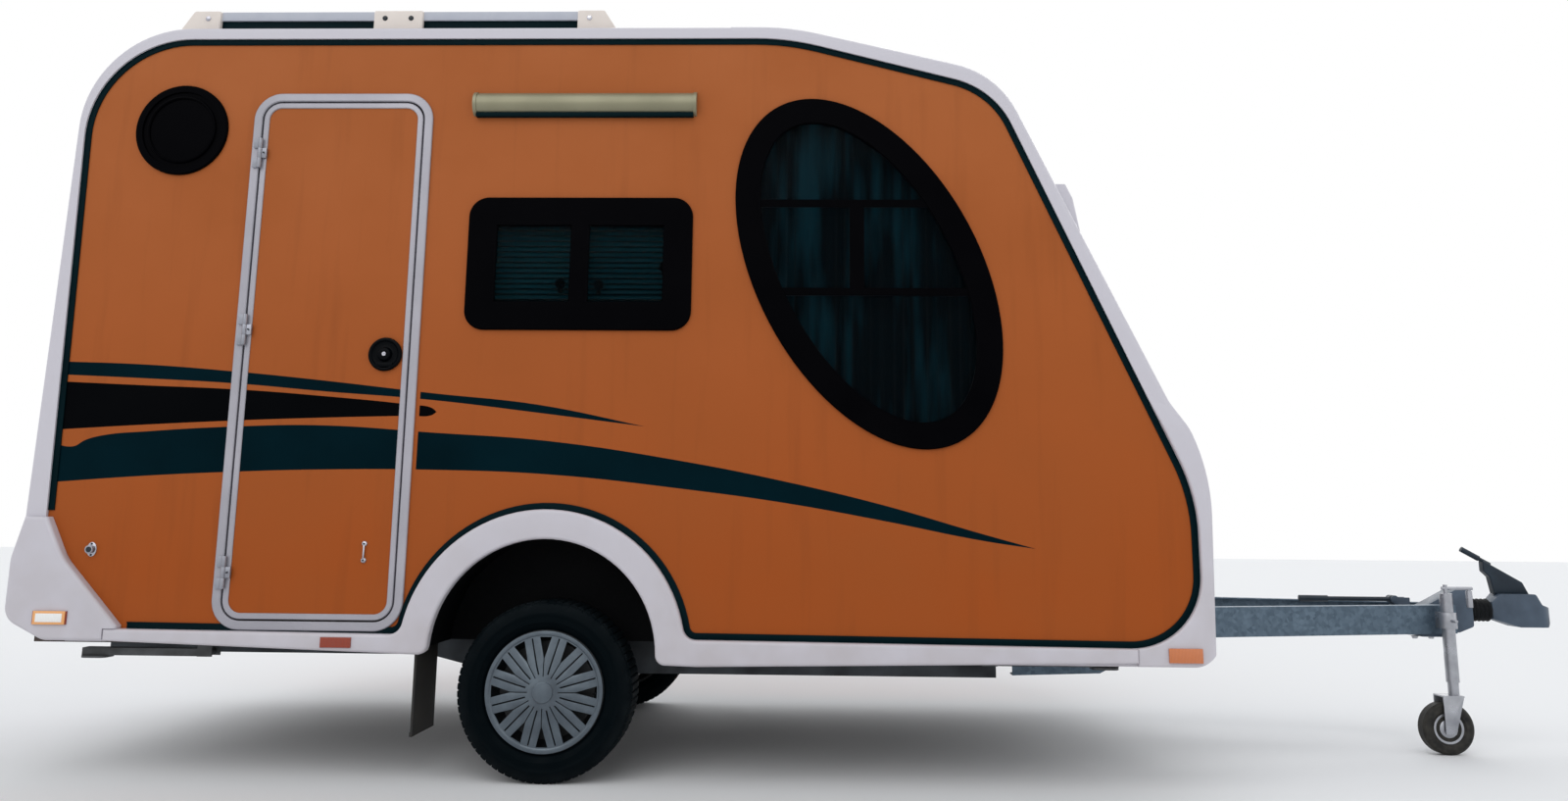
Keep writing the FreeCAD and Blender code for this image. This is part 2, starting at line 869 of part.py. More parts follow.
def side_wall_blank():
    """Side wall inside the edge shells, with the openings of its windows and of the wheel."""
    inside = grown(body_outline, -skin - fit_gap)
    foot = face(rounded_outline([
        (rear_foot_x - overrun, sill_rear_foot + sill_lap, 0),
        (rear_foot_x - overrun, outline_foot - overrun, 0),
        (nose_x + overrun, outline_foot - overrun, 0),
        (nose_x + overrun, sill_front_foot + sill_lap, 0),
        (sill_middle_x, sill_middle_foot + sill_lap, 0),
    ]))
    arch = face(circle_wire(arch_centre_x, arch_centre_height, wheel_box_radius))
    flat = inside.cut(foot).cut(arch).cut(rear_corner())
    flat = flat.cut(grown(window_outline(), -window_lap))
    flat = flat.cut(face(oval_outline(window_lap)))
    return flat.cut(face(circle_wire(porthole_x, porthole_height, porthole_radius - window_lap)))


def make_walls():
    flat = side_wall_blank()
    left = prism(flat, (side_face_y, inner_face_y))
    right = prism(flat.cut(grown(door_frame_outline(), -door_frame_band + door_jamb)), (side_face_y, inner_face_y))
    save("side_wall_right", right)
    save("side_wall_left", mirrored(left))


def window_outline():
    return rounded_rectangle(window_rear_x, window_front_x, window_foot, window_top, window_radius)


def oval_outline(inset):
    return ellipse_wire(oval_x, oval_height, oval_long - inset, oval_short - inset, oval_tilt)


def door_frame_outline():
    return rounded_rectangle(door_frame_rear_x, door_frame_front_x, door_frame_foot, door_frame_top,
                             door_frame_radius)


def outer_edges_at(y):
    """Picks the edges of a right-hand piece that lie in its outermost face."""
    return lambda edge: edge.BoundBox.YMax < y + fit_gap


def make_side_windows():
    outline = face(window_outline())
    face_y = side_face_y - window_proud
    flange = ring(outline, grown(outline, -window_band), (side_face_y, face_y))
    spigot = ring(grown(outline, -window_lap - fit_gap), grown(outline, -window_lap - window_spigot),
                  (side_face_y, inner_face_y))
    middle = (window_rear_x + window_front_x) / 2
    mullion = box((middle - window_mullion / 2, middle + window_mullion / 2), (side_face_y, face_y),
                  (window_foot + window_band / 2, window_top - window_band / 2))
    flange = bevelled(flange.fuse(mullion).removeSplitter(), window_bevel, outer_edges_at(face_y))
    frame = flange.fuse(spigot).removeSplitter()
    pane = prism(grown(outline, -window_lap - window_spigot - fit_gap), (side_face_y, side_face_y + glass))
    save("side_window_frames", frame, mirrored(frame))
    save("side_window_glass", pane, mirrored(pane))


def make_oval_windows():
    face_y = side_face_y - window_proud
    inner = face(oval_outline(oval_band))
    flange = ring(face(oval_outline(0)), inner, (side_face_y, face_y))
    flange = bevelled(flange, window_bevel, outer_edges_at(face_y))
    spigot = ring(face(oval_outline(window_lap + fit_gap)), face(oval_outline(window_lap + window_spigot)),
                  (side_face_y, inner_face_y))
    bars = sash_bars().common(prism(face(oval_outline(oval_band / 2)), (side_face_y, side_face_y - oval_bar_depth)))
    frame = flange.fuse([spigot, bars]).removeSplitter()
    pane = prism(face(oval_outline(window_lap + window_spigot + fit_gap)), (side_face_y, side_face_y + glass))
    save("oval_window_frames", frame, mirrored(frame))
    save("oval_window_glass", pane, mirrored(pane))


def sash_bars():
    """Two level bars across the oval window, and the upright between the sliding panes that they hold."""
    y = (side_face_y, side_face_y - oval_bar_depth)
    top = oval_height + oval_bar_rise
    low = top - oval_bar_gap
    reach = (oval_x - oval_long, oval_x + oval_long)
    bars = [box(reach, y, (height - oval_bar / 2, height + oval_bar / 2)) for height in (low, top)]
    middle = oval_x - oval_mullion_setback
    upright = box((middle - oval_mullion / 2, middle + oval_mullion / 2), y, (low, top))
    return upright.fuse(bars).removeSplitter()


def make_portholes():
    plug = prism(face(circle_wire(porthole_x, porthole_height, porthole_radius - window_lap - fit_gap)),
                 (side_face_y, inner_face_y))
    disc = prism(face(circle_wire(porthole_x, porthole_height, porthole_radius)),
                 (side_face_y, side_face_y - window_proud))
    disc = bevelled(disc, window_bevel, outer_edges_at(side_face_y - window_proud))
    recess = prism(face(circle_wire(porthole_x, porthole_height, porthole_radius - porthole_band)),
                   (side_face_y - window_proud / 2, side_face_y - window_proud - overrun))
    window = plug.fuse(disc).cut(recess).removeSplitter()
    save("portholes", window, mirrored(window))


def rear_plane():
    """Origin, right and up of the plane of the rear wall, seen from behind."""
    up = Vector(math.sin(rear_lean), 0, math.cos(rear_lean))
    x = rear_foot_x + (rear_window_centre - outline_foot) * math.tan(rear_lean)
    return Vector(x, 0, rear_window_centre), Vector(0, -1, 0), up


def front_plane():
    """Origin, right and up of the plane of the front shell above the nose, seen from in front."""
    up = Vector(-math.sin(front_rake), 0, math.cos(front_rake))
    outward = Vector(math.cos(front_rake), 0, math.sin(front_rake))
    corner = Vector(brow_x, 0, brow_height) + outward * front_step
    return corner - up * front_window_drop, Vector(0, 1, 0), up


def end_outline(width, height):
    return face(rounded_rectangle(-width / 2, width / 2, -height / 2, height / 2, end_window_radius))


def end_opening(width, height):
    return prism(grown(end_outline(width, height), -window_lap), (-overrun, overrun))


def end_window(width, height):
    """Frame and pane of an end window, drawn as on the right-hand wall."""
    outline = end_outline(width, height)
    flange = ring(outline, grown(outline, -end_window_band), (0, -window_proud))
    flange = bevelled(flange, window_bevel, outer_edges_at(-window_proud))
    spigot = ring(grown(outline, -window_lap - fit_gap), grown(outline, -window_lap - window_spigot), (0, skin))
    pane = prism(grown(outline, -window_lap - window_spigot - fit_gap), (0, glass))
    return flange.fuse(spigot).removeSplitter(), pane


def window_hood():
    """Eyebrow above the front window: a crest that falls back to the shell towards its foot."""
    half = body_half_width - hood_margin
    foot = front_window_tall / 2 + fit_gap
    top = foot + hood_height
    profile = Part.makePolygon([Vector(-half, y, z) for y, z in (
        (0, foot),
        (-hood_foot_proud, foot),
        (-hood_proud, top - hood_slope_run - hood_crest),
        (-hood_proud, top - hood_slope_run),
        (0, top),
        (0, foot),
    )])
    hood = face(profile).extrude(Vector(2 * half, 0, 0))
    return rounded(hood, hood_round, lambda edge: edge.BoundBox.YMax < -hood_foot_proud + fit_gap
                   and edge.BoundBox.YMin < -hood_proud + fit_gap)


def make_end_windows():
    frame, pane = end_window(rear_window_width, rear_window_tall)
    origin, right, up = rear_plane()
    rear_frame, rear_pane = (on_plane(piece, origin, right, up) for piece in (frame, pane))
    frame, pane = end_window(front_window_width, front_window_tall)
    origin, right, up = front_plane()
    save("end_window_frames", rear_frame, on_plane(frame, origin, right, up))
    save("end_window_glass", rear_pane, on_plane(pane, origin, right, up))
    save("front_window_hood", on_plane(window_hood(), origin, right, up))


def blind_head_rail():
    """Head rail that carries a blind from the wall above the side window."""
    inside = inner_face_y + blind_stand_off
    return box((window_rear_x + blind_margin, window_front_x - blind_margin),
               (inner_face_y, inside + blind_depth + blind_stand_off),
               (window_top + blind_margin, window_top + blind_margin * 2))


def end_blind(width, height, depth):
    """Closed blind over an end window, against the inner face of its shell."""
    start = depth + fit_gap
    return box((-width / 2, width / 2), (start, start + blind_depth), (-height / 2, height / 2))


def make_blinds():
    rear = window_rear_x + blind_margin
    front = window_front_x - blind_margin
    inside = inner_face_y + blind_stand_off
    blind = box((rear, front), (inside, inside + blind_depth), (window_foot, window_top + blind_margin))
    back = on_plane(end_blind(rear_window_width, rear_window_tall, skin), *rear_plane())
    ahead = on_plane(end_blind(front_window_width, front_window_tall, skin + front_step), *front_plane())
    save("blinds", blind, mirrored(blind), back, ahead)


def make_curtains():
    y = inner_face_y + curtain_stand_off + curtain_depth / 2
    rod_height = curtain_top + curtain_rod_radius + fit_gap
    bar = rod(Vector(curtain_rear_x - curtain_overhang, y, rod_height),
              Vector(curtain_front_x + curtain_overhang, y, rod_height), curtain_rod_radius)
    ends = [box((x - curtain_rod_radius, x + curtain_rod_radius), (inner_face_y, y),
                (rod_height - curtain_rod_radius, rod_height + curtain_rod_radius))
            for x in (curtain_rear_x - curtain_overhang / 2, curtain_front_x + curtain_overhang / 2)]
    rail = bar.fuse(ends).removeSplitter()
    cloth = box((curtain_rear_x, curtain_front_x), (y - curtain_depth / 2, y + curtain_depth / 2),
                (curtain_foot, curtain_top))
    head = blind_head_rail()
    save("window_rods", rail, mirrored(rail), head, mirrored(head))
    save("curtains", cloth, mirrored(cloth))


def make_bumper():
    whole = prism(face(bumper_outline), (side_face_y - sill_proud, -side_face_y + sill_proud))
    whole = rounded(whole, bumper_edge_round, lambda edge: edge.BoundBox.YLength < fit_gap)
    body = prism(grown(body_outline, fit_gap), (side_face_y - fit_gap, -side_face_y + fit_gap))
    lips = prism(grown(body_outline, fit_gap).cut(grown(seal_outline, -fit_gap)),
                 (side_face_y - lip - fit_gap, -side_face_y + lip + fit_gap))
    sill_end = box((sill_rear_x - fit_gap, 0), (-nose_x, nose_x), (0, seal_height(sill_rear_x) + fit_gap))
    save("rear_bumper", whole.cut([body, lips, sill_end]))


def make_floor():
    half = -inner_face_y - fit_gap
    profile = Part.makePolygon([Vector(x, 0, z) for x, z in (
        (floor_rear_x, floor_under),
        (floor_front_x, floor_under),
        (toe_front_x, floor_under + toe_rise),
        (toe_front_x, floor_under + toe_rise + floor_thickness),
        (floor_front_x, floor_under + floor_thickness),
        (floor_rear_x, floor_under + floor_thickness),
        (floor_rear_x, floor_under),
    )])
    plate = prism(face(profile), (-half, half))
    reach = wheel_box_radius + wheel_box_sheet
    for side in (-1, 1):
        plate = plate.cut(box((arch_centre_x - reach, arch_centre_x + reach),
                              (side * wheel_box_inner_y, side * (half + overrun)),
                              (outline_foot, roof_height / 2)))
    save("floor_panel", plate)


def make_wheel_boxes():
    reach = wheel_box_radius + wheel_box_sheet
    start = inner_face_y + fit_gap
    end = -wheel_box_inner_y - fit_gap
    outer = face(circle_wire(arch_centre_x, arch_centre_height, reach - fit_gap))
    inner = face(circle_wire(arch_centre_x, arch_centre_height, wheel_box_radius))
    shroud = ring(outer, inner, (start, end))
    cap = prism(outer, (end - wheel_box_sheet, end))
    below = box((arch_centre_x - 2 * reach, arch_centre_x + 2 * reach), (start - overrun, end + overrun),
                (0, floor_under))
    whole = shroud.fuse(cap).cut(below).removeSplitter()
    save("wheel_boxes", whole, mirrored(whole))


def channel(outline, y):
    """C-section member: a folded sheet seen from the side as the outline, open towards the middle."""
    return prism(face(outline), y).cut(prism(grown(outline, -rail_sheet), (min(y) + rail_sheet, max(y) + overrun)))


def cross_tube(x, half_length):
    """Square tube across the chassis."""
    top = floor_under
    half = cross_size / 2
    outer = box((x - half, x + half), (-half_length, half_length), (top - cross_size, top))
    inner = box((x - half + rail_sheet, x + half - rail_sheet), (-half_length - overrun, half_length + overrun),
                (top - cross_size + rail_sheet, top - rail_sheet))
    return outer.cut(inner)


def arm_centre_y(x):
    """How far from the middle the centre line of a drawbar arm is."""
    return arm_start_y - (arm_start_y - arm_tip_y) * (x - cross_front_x) / (arm_tip_x - cross_front_x)


def make_chassis():
    rail_foot = floor_under - rail_height
    rail_front_x = cross_front_x - cross_size / 2
    outline = rounded_outline([
        (rail_rear_x, floor_under - rail_rear_height, 0),
        (rail_rear_x, floor_under, 0),
        (rail_front_x, floor_under, 0),
        (rail_front_x, rail_foot, 0),
        (-rail_step_end, rail_foot, 0),
        (-rail_step_start, floor_under - rail_rear_height, 0),
    ])
    rail = channel(outline, (-rail_outer_y, -rail_outer_y + rail_width))
    save("chassis_rails", rail, mirrored(rail))

    between = rail_outer_y - rail_width
    save("cross_members", cross_tube(cross_rear_x, between), cross_tube(-cross_middle_setback, between),
         cross_tube(cross_front_x, rail_outer_y))

    length = (arm_tip_x - cross_front_x) / math.cos(arm_angle)
    kick_start = (floor_front_x - cross_front_x) / math.cos(arm_angle) + arm_kick_lag
    foot = floor_under - arm_height
    arm_outline = rounded_outline([
        (-overrun, foot, 0),
        (-overrun, floor_under, 0),
        (kick_start, floor_under, 0),
        (kick_start + arm_kick_length, arm_top, 0),
        (length, arm_top, 0),
        (length, arm_foot, 0),
        (kick_start + arm_kick_length, arm_foot, 0),
        (kick_start, foot, 0),
    ])
    arm = channel(arm_outline, (-rail_width / 2, rail_width / 2))
    arm.rotate(Vector(0, 0, 0), Vector(0, 0, 1), math.degrees(arm_angle))
    arm.translate(Vector(cross_front_x, -arm_start_y, 0))
    arm = arm.cut(box((0, cross_front_x + cross_size / 2), (-nose_x, nose_x), (0, roof_height)))
    save("drawbar_arms", arm, mirrored(arm))


def make_axle():
    centre_height = floor_under - rail_height - beam_flats / 2
    radius = beam_flats / 2 / math.cos(math.pi / 6)

    def hexagon(corner_radius):
        points = [Vector(beam_lead + corner_radius * math.sin(math.radians(60 * number)), 0,
                         centre_height + corner_radius * math.cos(math.radians(60 * number)))
                  for number in range(7)]
        return face(Part.makePolygon(points))

    outer = prism(hexagon(radius), (-beam_half_length, beam_half_length))
    inner = prism(hexagon(radius - beam_sheet), (-beam_half_length - overrun, beam_half_length + overrun))
    beam = outer.cut(inner)
    beam.rotate(Vector(beam_lead, 0, centre_height), Vector(0, 1, 0), beam_turn)
    save("axle_beam", beam)

    start = -beam_half_length
    end = start - arm_plate
    half_web = arm_boss_radius * arm_web_share
    hub = rod(Vector(beam_lead, start, centre_height), Vector(beam_lead, end, centre_height), arm_boss_radius)
    eye = rod(Vector(0, start, tyre_radius), Vector(0, end, tyre_radius), arm_boss_radius)
    web = box((0, beam_lead), (start, end), (centre_height - half_web, tyre_radius + half_web))
    plate = rod(Vector(0, end, tyre_radius), Vector(0, end - backing_sheet, tyre_radius), backing_radius)
    spindle = rod(Vector(0, end, tyre_radius), Vector(0, -wheel_y - rim_disc_y, tyre_radius), spindle_radius)
    arm = hub.fuse([eye, web, plate, spindle]).removeSplitter()
    save("trailing_arms", arm, mirrored(arm))


def tyre_profile():
    """Half of the tyre's section, as distances from its middle plane and from the wheel's axis."""
    half = tyre_width / 2
    shoulder = tyre_radius - tyre_shoulder
    tread = half - tyre_shoulder
    corner = tyre_shoulder * (1 - math.cos(math.pi / 4))
    return [
        (rim_width / 2, tyre_bead_radius),
        (half - tyre_tuck, tyre_bead_radius + tyre_side_run),
        (half, (tyre_bead_radius + shoulder) / 2),
        (half - tyre_tuck, shoulder),
        (half - corner, tyre_radius - tyre_crown - corner),
        (tread, tyre_radius - tyre_crown),
        (tread / 2, tyre_radius),
    ]


def make_wheels():
    centre = Vector(0, -wheel_y, tyre_radius)
    bead_half = rim_width / 2
    side = tyre_profile()
    tyre = turned(side + [(-y, radius) for y, radius in side[::-1]], centre)
    seat = tyre_bead_radius - fit_gap
    drop = seat - rim_drop
    disc_back = -rim_disc_y + rim_sheet
    rim = turned([
        (-bead_half, seat),
        (bead_half, seat),
        (bead_half, seat - rim_sheet),
        (bead_half - rim_sheet, seat - rim_sheet),
        (disc_back, drop - rim_sheet),
        (disc_back, hub_bore_radius),
        (-rim_disc_y, hub_bore_radius),
        (-rim_disc_y, drop - rim_sheet),
        (-bead_half + rim_sheet, seat - rim_sheet),
        (-bead_half, seat - rim_sheet),
    ], centre)
    drum_start = beam_half_length + arm_plate + backing_sheet + moving_gap - wheel_y
    drum = turned([
        (disc_back + fit_gap, spindle_radius + running_clearance),
        (disc_back + fit_gap, drum_radius),
        (-drum_start, drum_radius),
        (-drum_start, spindle_radius + running_clearance),
    ], centre)
    cover = wheel_cover(-bead_half - fit_gap)
    cover.translate(centre)
    for side, place in (("right", lambda shape: shape), ("left", mirrored)):
        save("tyre_" + side, place(tyre))
        save("rim_" + side, place(rim), place(drum))
        save("hubcap_" + side, place(cover))


def wheel_cover(back):
    """Moulded wheel cover about the Y axis: a raised rim, pairs of tapered spokes and a domed boss."""
    front = back - cover_sheet
    crown = front - cover_crown
    inside = cover_radius - cover_rim_band
    flat = cover_radius * cover_flat_share
    dish = turned([
        (back, cover_radius),
        (front - cover_rim_proud, cover_radius),
        (front - cover_rim_proud, inside + cover_rim_proud),
        (front, inside),
        (crown, flat),
        (crown, 0),
        (crown + cover_sheet, 0),
        (crown + cover_sheet, flat),
        (back, inside),
    ], Vector(0, 0, 0))
    boss = Part.makeCylinder(cover_boss_radius, cover_boss_proud + cover_sheet,
                             Vector(0, crown + cover_sheet, 0), Vector(0, -1, 0))
    boss = rounded(boss, cover_boss_round, outer_edges_at(crown - cover_boss_proud))
    step = 360.0 / spoke_pairs
    gaps = []
    for number in range(spoke_pairs):
        window = spoke_window()
        window.rotate(Vector(0, 0, 0), Vector(0, 1, 0), number * step)
        slot = spoke_slot_cut()
        slot.rotate(Vector(0, 0, 0), Vector(0, 1, 0), (number + 0.5) * step)
        gaps += [window, slot]
    return dish.cut(gaps).fuse(boss).removeSplitter()


def spoke_window():
    """Opening between two pairs of spokes: a wedge under the rim that closes to a slit towards the boss."""
    outer = cover_radius - cover_rim_band - cover_rim_proud
    throat = outer * window_throat_share
    half = outer * math.tan(math.pi / spoke_pairs) * window_share
    slit = window_slit / 2
    start = cover_radius * window_start_share
    outline = [Vector(x, 0, z) for x, z in (
        (-half, outer),
        (half, outer),
        (slit, throat),
        (slit, start),
        (-slit, start),
        (-slit, throat),
        (-half, outer),
    )]
    return prism(face(Part.makePolygon(outline)), (-rim_width - overrun, rim_width))


def spoke_slot_cut():
    """Narrow slot between the two spokes of a pair."""
    outer = cover_radius - cover_rim_band - cover_rim_proud
    return box((-spoke_slot / 2, spoke_slot / 2), (-rim_width - overrun, rim_width),
               (cover_radius * slot_start_share, outer))


def make_coupling():
    half_width = arm_tip_half_gap - fit_gap
    lip_top = arm_foot + housing_front_tall
    housing = prism(face(rounded_outline([
        (coupling_rear_x, arm_foot, 0),
        (coupling_rear_x, arm_foot + housing_rear_tall, 0),
        (coupling_rear_x + housing_shoulder_run, arm_foot + housing_rear_tall, 0),
        (housing_front_x - housing_nose_length, lip_top, 0),
        (housing_front_x, lip_top, 0),
        (housing_front_x, arm_foot + housing_chin_rise, 0),
        (housing_front_x - housing_nose_length, arm_foot, 0),
    ])), (-half_width, half_width))
    housing = rounded(housing, housing_round, upright_edge)
    plate = box((coupling_rear_x + head_plate_margin, arm_tip_x - head_plate_margin),
                (-head_plate_half_width, head_plate_half_width), (arm_foot - head_plate_sheet, arm_foot))
    housing = housing.fuse(brake_ears() + [plate]).removeSplitter()
    save("coupling_housing", housing)

    start = Vector(housing_front_x, 0, draw_tube_height)
    pitch = bellows_length / bellows_folds
    valley = bellows_radius * bellows_valley_share
    points = [Vector(0, 0, draw_tube_radius)]
    for number in range(bellows_folds):
        points += [Vector(number * pitch, 0, valley), Vector((number + 0.5) * pitch, 0, bellows_radius)]
    points += [Vector(bellows_length, 0, valley), Vector(bellows_length, 0, draw_tube_radius), points[0]]
    bellows = face(Part.makePolygon(points)).revolve(Vector(0, 0, 0), Vector(1, 0, 0), 360)
    bellows.translate(start)
    save("coupling_bellows", bellows)

    head = coupling_head()
    tube = Part.makeCylinder(draw_tube_radius - fit_gap, bellows_length + head_neck_run, start, Vector(1, 0, 0))
    socket = Part.makeCylinder(socket_radius, socket_depth, Vector(socket_x, 0, draw_tube_height - head_below))
    head = head.fuse(tube).cut(socket).removeSplitter()
    save("coupling_head", head)
    save("coupling_handle", coupling_handle())


def brake_ears():
    """Two ears at the rear of the housing and the pin that carries the handbrake lever between them."""
    pivot = Vector(brake_pivot_x, 0, brake_pivot_height)
    ear_gap = brake_boss_width / 2 + moving_gap
    outer = ear_gap + brake_ear_sheet
    ears = []
    for side in (-1, 1):
        ears.append(box((pivot.x, coupling_rear_x + brake_ear_lap), (side * ear_gap, side * outer),
                        (pivot.z - brake_ear_drop, pivot.z + brake_boss_radius / 2)))
        ears.append(rod(pivot + Vector(0, side * ear_gap, 0), pivot + Vector(0, side * outer, 0), brake_boss_radius))
    return ears + [rod(pivot + Vector(0, -outer, 0), pivot + Vector(0, outer, 0), brake_pin_radius)]


def coupling_head():
    """Ball coupling: a domed body that narrows to the draw tube, with a rounded nose over the ball."""
    axis = draw_tube_height
    nose_top = axis + head_nose_above
    side = face(rounded_outline([
        (head_rear_x, axis - head_neck_width / 2, 0),
        (head_rear_x, axis + head_neck_width / 2, 0),
        (head_rear_x + head_neck_run, axis + head_above, head_round),
        (head_rear_x + head_top_run, axis + head_above, head_round * 2),
        (head_rear_x + head_top_run + head_brow_run, axis + head_above - head_brow_drop, head_round * 2),
        (head_nose_x, nose_top, head_round * 2),
        (head_nose_x, axis - head_nose_below, head_round),
        (head_nose_x - head_chin_run, axis - head_below, 0),
        (head_rear_x + head_shoulder_run, axis - head_below, head_round * 2),
    ]))
    half = head_width / 2
    neck = head_neck_width / 2
    outline = [Vector(x, y, 0) for x, y in (
        (socket_x, half),
        (head_rear_x + head_shoulder_run, half),
        (head_rear_x, neck),
        (head_rear_x, -neck),
        (head_rear_x + head_shoulder_run, -half),
        (socket_x, -half),
    )]
    runs = [Part.LineSegment(start, end).toShape() for start, end in zip(outline, outline[1:])]
    nose = Part.Arc(outline[-1], Vector(head_nose_x, 0, 0), outline[0]).toShape()
    top_view = face(Part.Wire(runs + [nose]))
    tall = top_view.extrude(Vector(0, 0, roof_height))
    return prism(side, (-head_width, head_width)).common(tall).removeSplitter()


def coupling_handle():
    """Handle of the coupling: a wedge over the head, with a round bar and grip that point back and up."""
    rear = head_rear_x + handle_seat_run
    front = rear + handle_seat_length
    seat = draw_tube_height + head_above + fit_gap
    wedge = prism(face(rounded_outline([
        (rear, seat, 0),
        (front, seat, 0),
        (front - handle_front_run, seat + handle_front_rise, handle_round * 2),
        (rear - handle_back_run, seat + handle_back_rise, handle_round),
        (rear - handle_back_run, seat + handle_heel_rise, handle_round),
        (rear - handle_notch_run, seat + handle_notch_rise, handle_round),
    ])), (-handle_width / 2, handle_width / 2))
    wedge = rounded(wedge, handle_round, lambda edge: edge.BoundBox.YLength < fit_gap
                    and edge.BoundBox.ZMax > seat + fit_gap)
    slope = math.radians(handle_slope)
    along = Vector(-math.cos(slope), 0, math.sin(slope))
    root = Vector(rear, 0, seat + handle_rod_rise)
    tip = root + along * handle_rod_length
    bar = rod(root, tip, handle_rod_radius)
    grip = rod(tip - along * handle_grip_length, tip, handle_grip_radius)
    return wedge.fuse([bar, grip]).removeSplitter()


def make_handbrake():
    root = Vector(brake_pivot_x, 0, brake_pivot_height)
    half = Vector(0, brake_boss_width / 2, 0)
    tip = root - Vector(brake_lever_length, 0, 0)
    boss = rod(root - half, root + half, brake_boss_radius)
    arm = rod(root, tip, brake_lever_radius)
    grip = rod(tip + Vector(brake_grip_length, 0, 0), tip, brake_grip_radius)
    bore = rod(root - half * 2, root + half * 2, brake_pin_radius + running_clearance)
    save("handbrake_lever", boss.fuse([arm, grip]).cut(bore).removeSplitter())


def jockey_y():
    """Place of the jockey wheel's tube beside the right-hand drawbar arm."""
    arm_face = arm_centre_y(jockey_x) + rail_width / 2 / math.cos(arm_angle)
    return -arm_face - jockey_stand_off - clamp_wall - jockey_tube_radius


def make_jockey():
    foot = Vector(jockey_x, jockey_y(), jockey_tube_foot)
    up = Vector(0, 0, 1)
    tube = Part.makeCylinder(jockey_tube_radius, jockey_tube_length, foot)
    bore = Part.makeCylinder(jockey_inner_radius + fit_gap, jockey_tube_length - overrun, foot)
    head = foot + up * jockey_tube_length
    elbow = head + up * crank_rise
    ahead = Vector(1, 0, 0)
    end = elbow + ahead * crank_reach
    grip_top = end - up * crank_grip_clear
    crank = [rod(head - up * crank_lap, elbow + up * crank_lap, crank_radius + crank_step),
             rod(elbow - ahead * crank_lap, end + ahead * crank_lap, crank_radius),
             rod(end, grip_top, crank_radius - crank_step),
             rod(grip_top, grip_top - up * crank_grip_length, crank_grip_radius)]
    outer = tube.cut(bore).fuse(crank).removeSplitter()
    inner_foot = jockey_fork_top + fit_gap
    start = Vector(jockey_x, jockey_y(), inner_foot)
    inner = Part.makeCylinder(jockey_inner_radius, jockey_tube_foot + jockey_inner_lap - inner_foot, start)
    stub_bore = Part.makeCylinder(jockey_pin_radius + running_clearance, jockey_stub_length + moving_gap, start)
    save("jockey_tubes", outer, inner.cut(stub_bore))


def make_jockey_clamp():
    y = jockey_y()
    arm_y = -arm_centre_y(jockey_x)
    middle = arm_top - arm_height / 2
    low = middle - clamp_height / 2
    half = clamp_height / 2
    reach = clamp_wall + jockey_tube_radius
    block = box((jockey_x - half, jockey_x + half), (y, arm_y), (low, low + clamp_height))
    collar = Part.makeCylinder(reach, clamp_height, Vector(jockey_x, y, low))
    bolt = rod(Vector(jockey_x, y, middle), Vector(jockey_x, y - reach - clamp_bolt_length, middle),
               clamp_bolt_radius)
    hole = Part.makeCylinder(jockey_tube_radius + fit_gap, clamp_height, Vector(jockey_x, y, low))
    inward = box((-nose_x, nose_x), (0, nose_x), (0, roof_height))
    inward.rotate(Vector(0, 0, 0), Vector(0, 0, 1), math.degrees(arm_angle))
    inward.translate(Vector(jockey_x, arm_y - rail_width / 2 / math.cos(arm_angle) - fit_gap, 0))
    save("jockey_clamp", block.fuse([collar, bolt]).cut([hole, inward]).removeSplitter())


def make_jockey_wheel():
    y = jockey_y()
    wheel_x = jockey_x - jockey_trail
    centre = Vector(wheel_x, y, jockey_wheel_radius)
    half = jockey_wheel_width / 2
    cheek_y = half + moving_gap
    side = jockey_inner_radius
    top_plate = box((wheel_x - side, jockey_x + side), (y - cheek_y - jockey_cheek, y + cheek_y + jockey_cheek),
                    (jockey_fork_top - jockey_cheek, jockey_fork_top))
    cheeks = []
    for sign in (-1, 1):
        profile = face(Part.makePolygon([Vector(x, y + sign * cheek_y, z) for x, z in (
            (wheel_x - side, jockey_wheel_radius - side),
            (wheel_x - side, jockey_fork_top),
            (jockey_x + side, jockey_fork_top),
            (wheel_x + side, jockey_wheel_radius - side),
            (wheel_x - side, jockey_wheel_radius - side))]))
        cheeks.append(profile.extrude(Vector(0, sign * jockey_cheek, 0)))
    axle = rod(centre + Vector(0, -cheek_y, 0), centre + Vector(0, cheek_y, 0), jockey_pin_radius)
    stub = Part.makeCylinder(jockey_pin_radius, jockey_stub_length, Vector(jockey_x, y, jockey_fork_top))
    save("jockey_fork", top_plate.fuse(cheeks + [axle, stub]).removeSplitter())

    bore = jockey_pin_radius + running_clearance
    hub = jockey_pin_radius * 2
    save("jockey_wheel", turned([
        (-half, bore),
        (-half, hub),
        (-half + jockey_rim_inset, hub),
        (-half + jockey_rim_inset, jockey_rim_radius),
        (-half, jockey_rim_radius + jockey_rim_inset),
        (-half, jockey_wheel_radius - jockey_wheel_round),
        (-half + jockey_wheel_round, jockey_wheel_radius),
        (half - jockey_wheel_round, jockey_wheel_radius),
        (half, jockey_wheel_radius - jockey_wheel_round),
        (half, jockey_rim_radius + jockey_rim_inset),
        (half - jockey_rim_inset, jockey_rim_radius),
        (half - jockey_rim_inset, hub),
        (half, hub),
        (half, bore),
    ], centre))


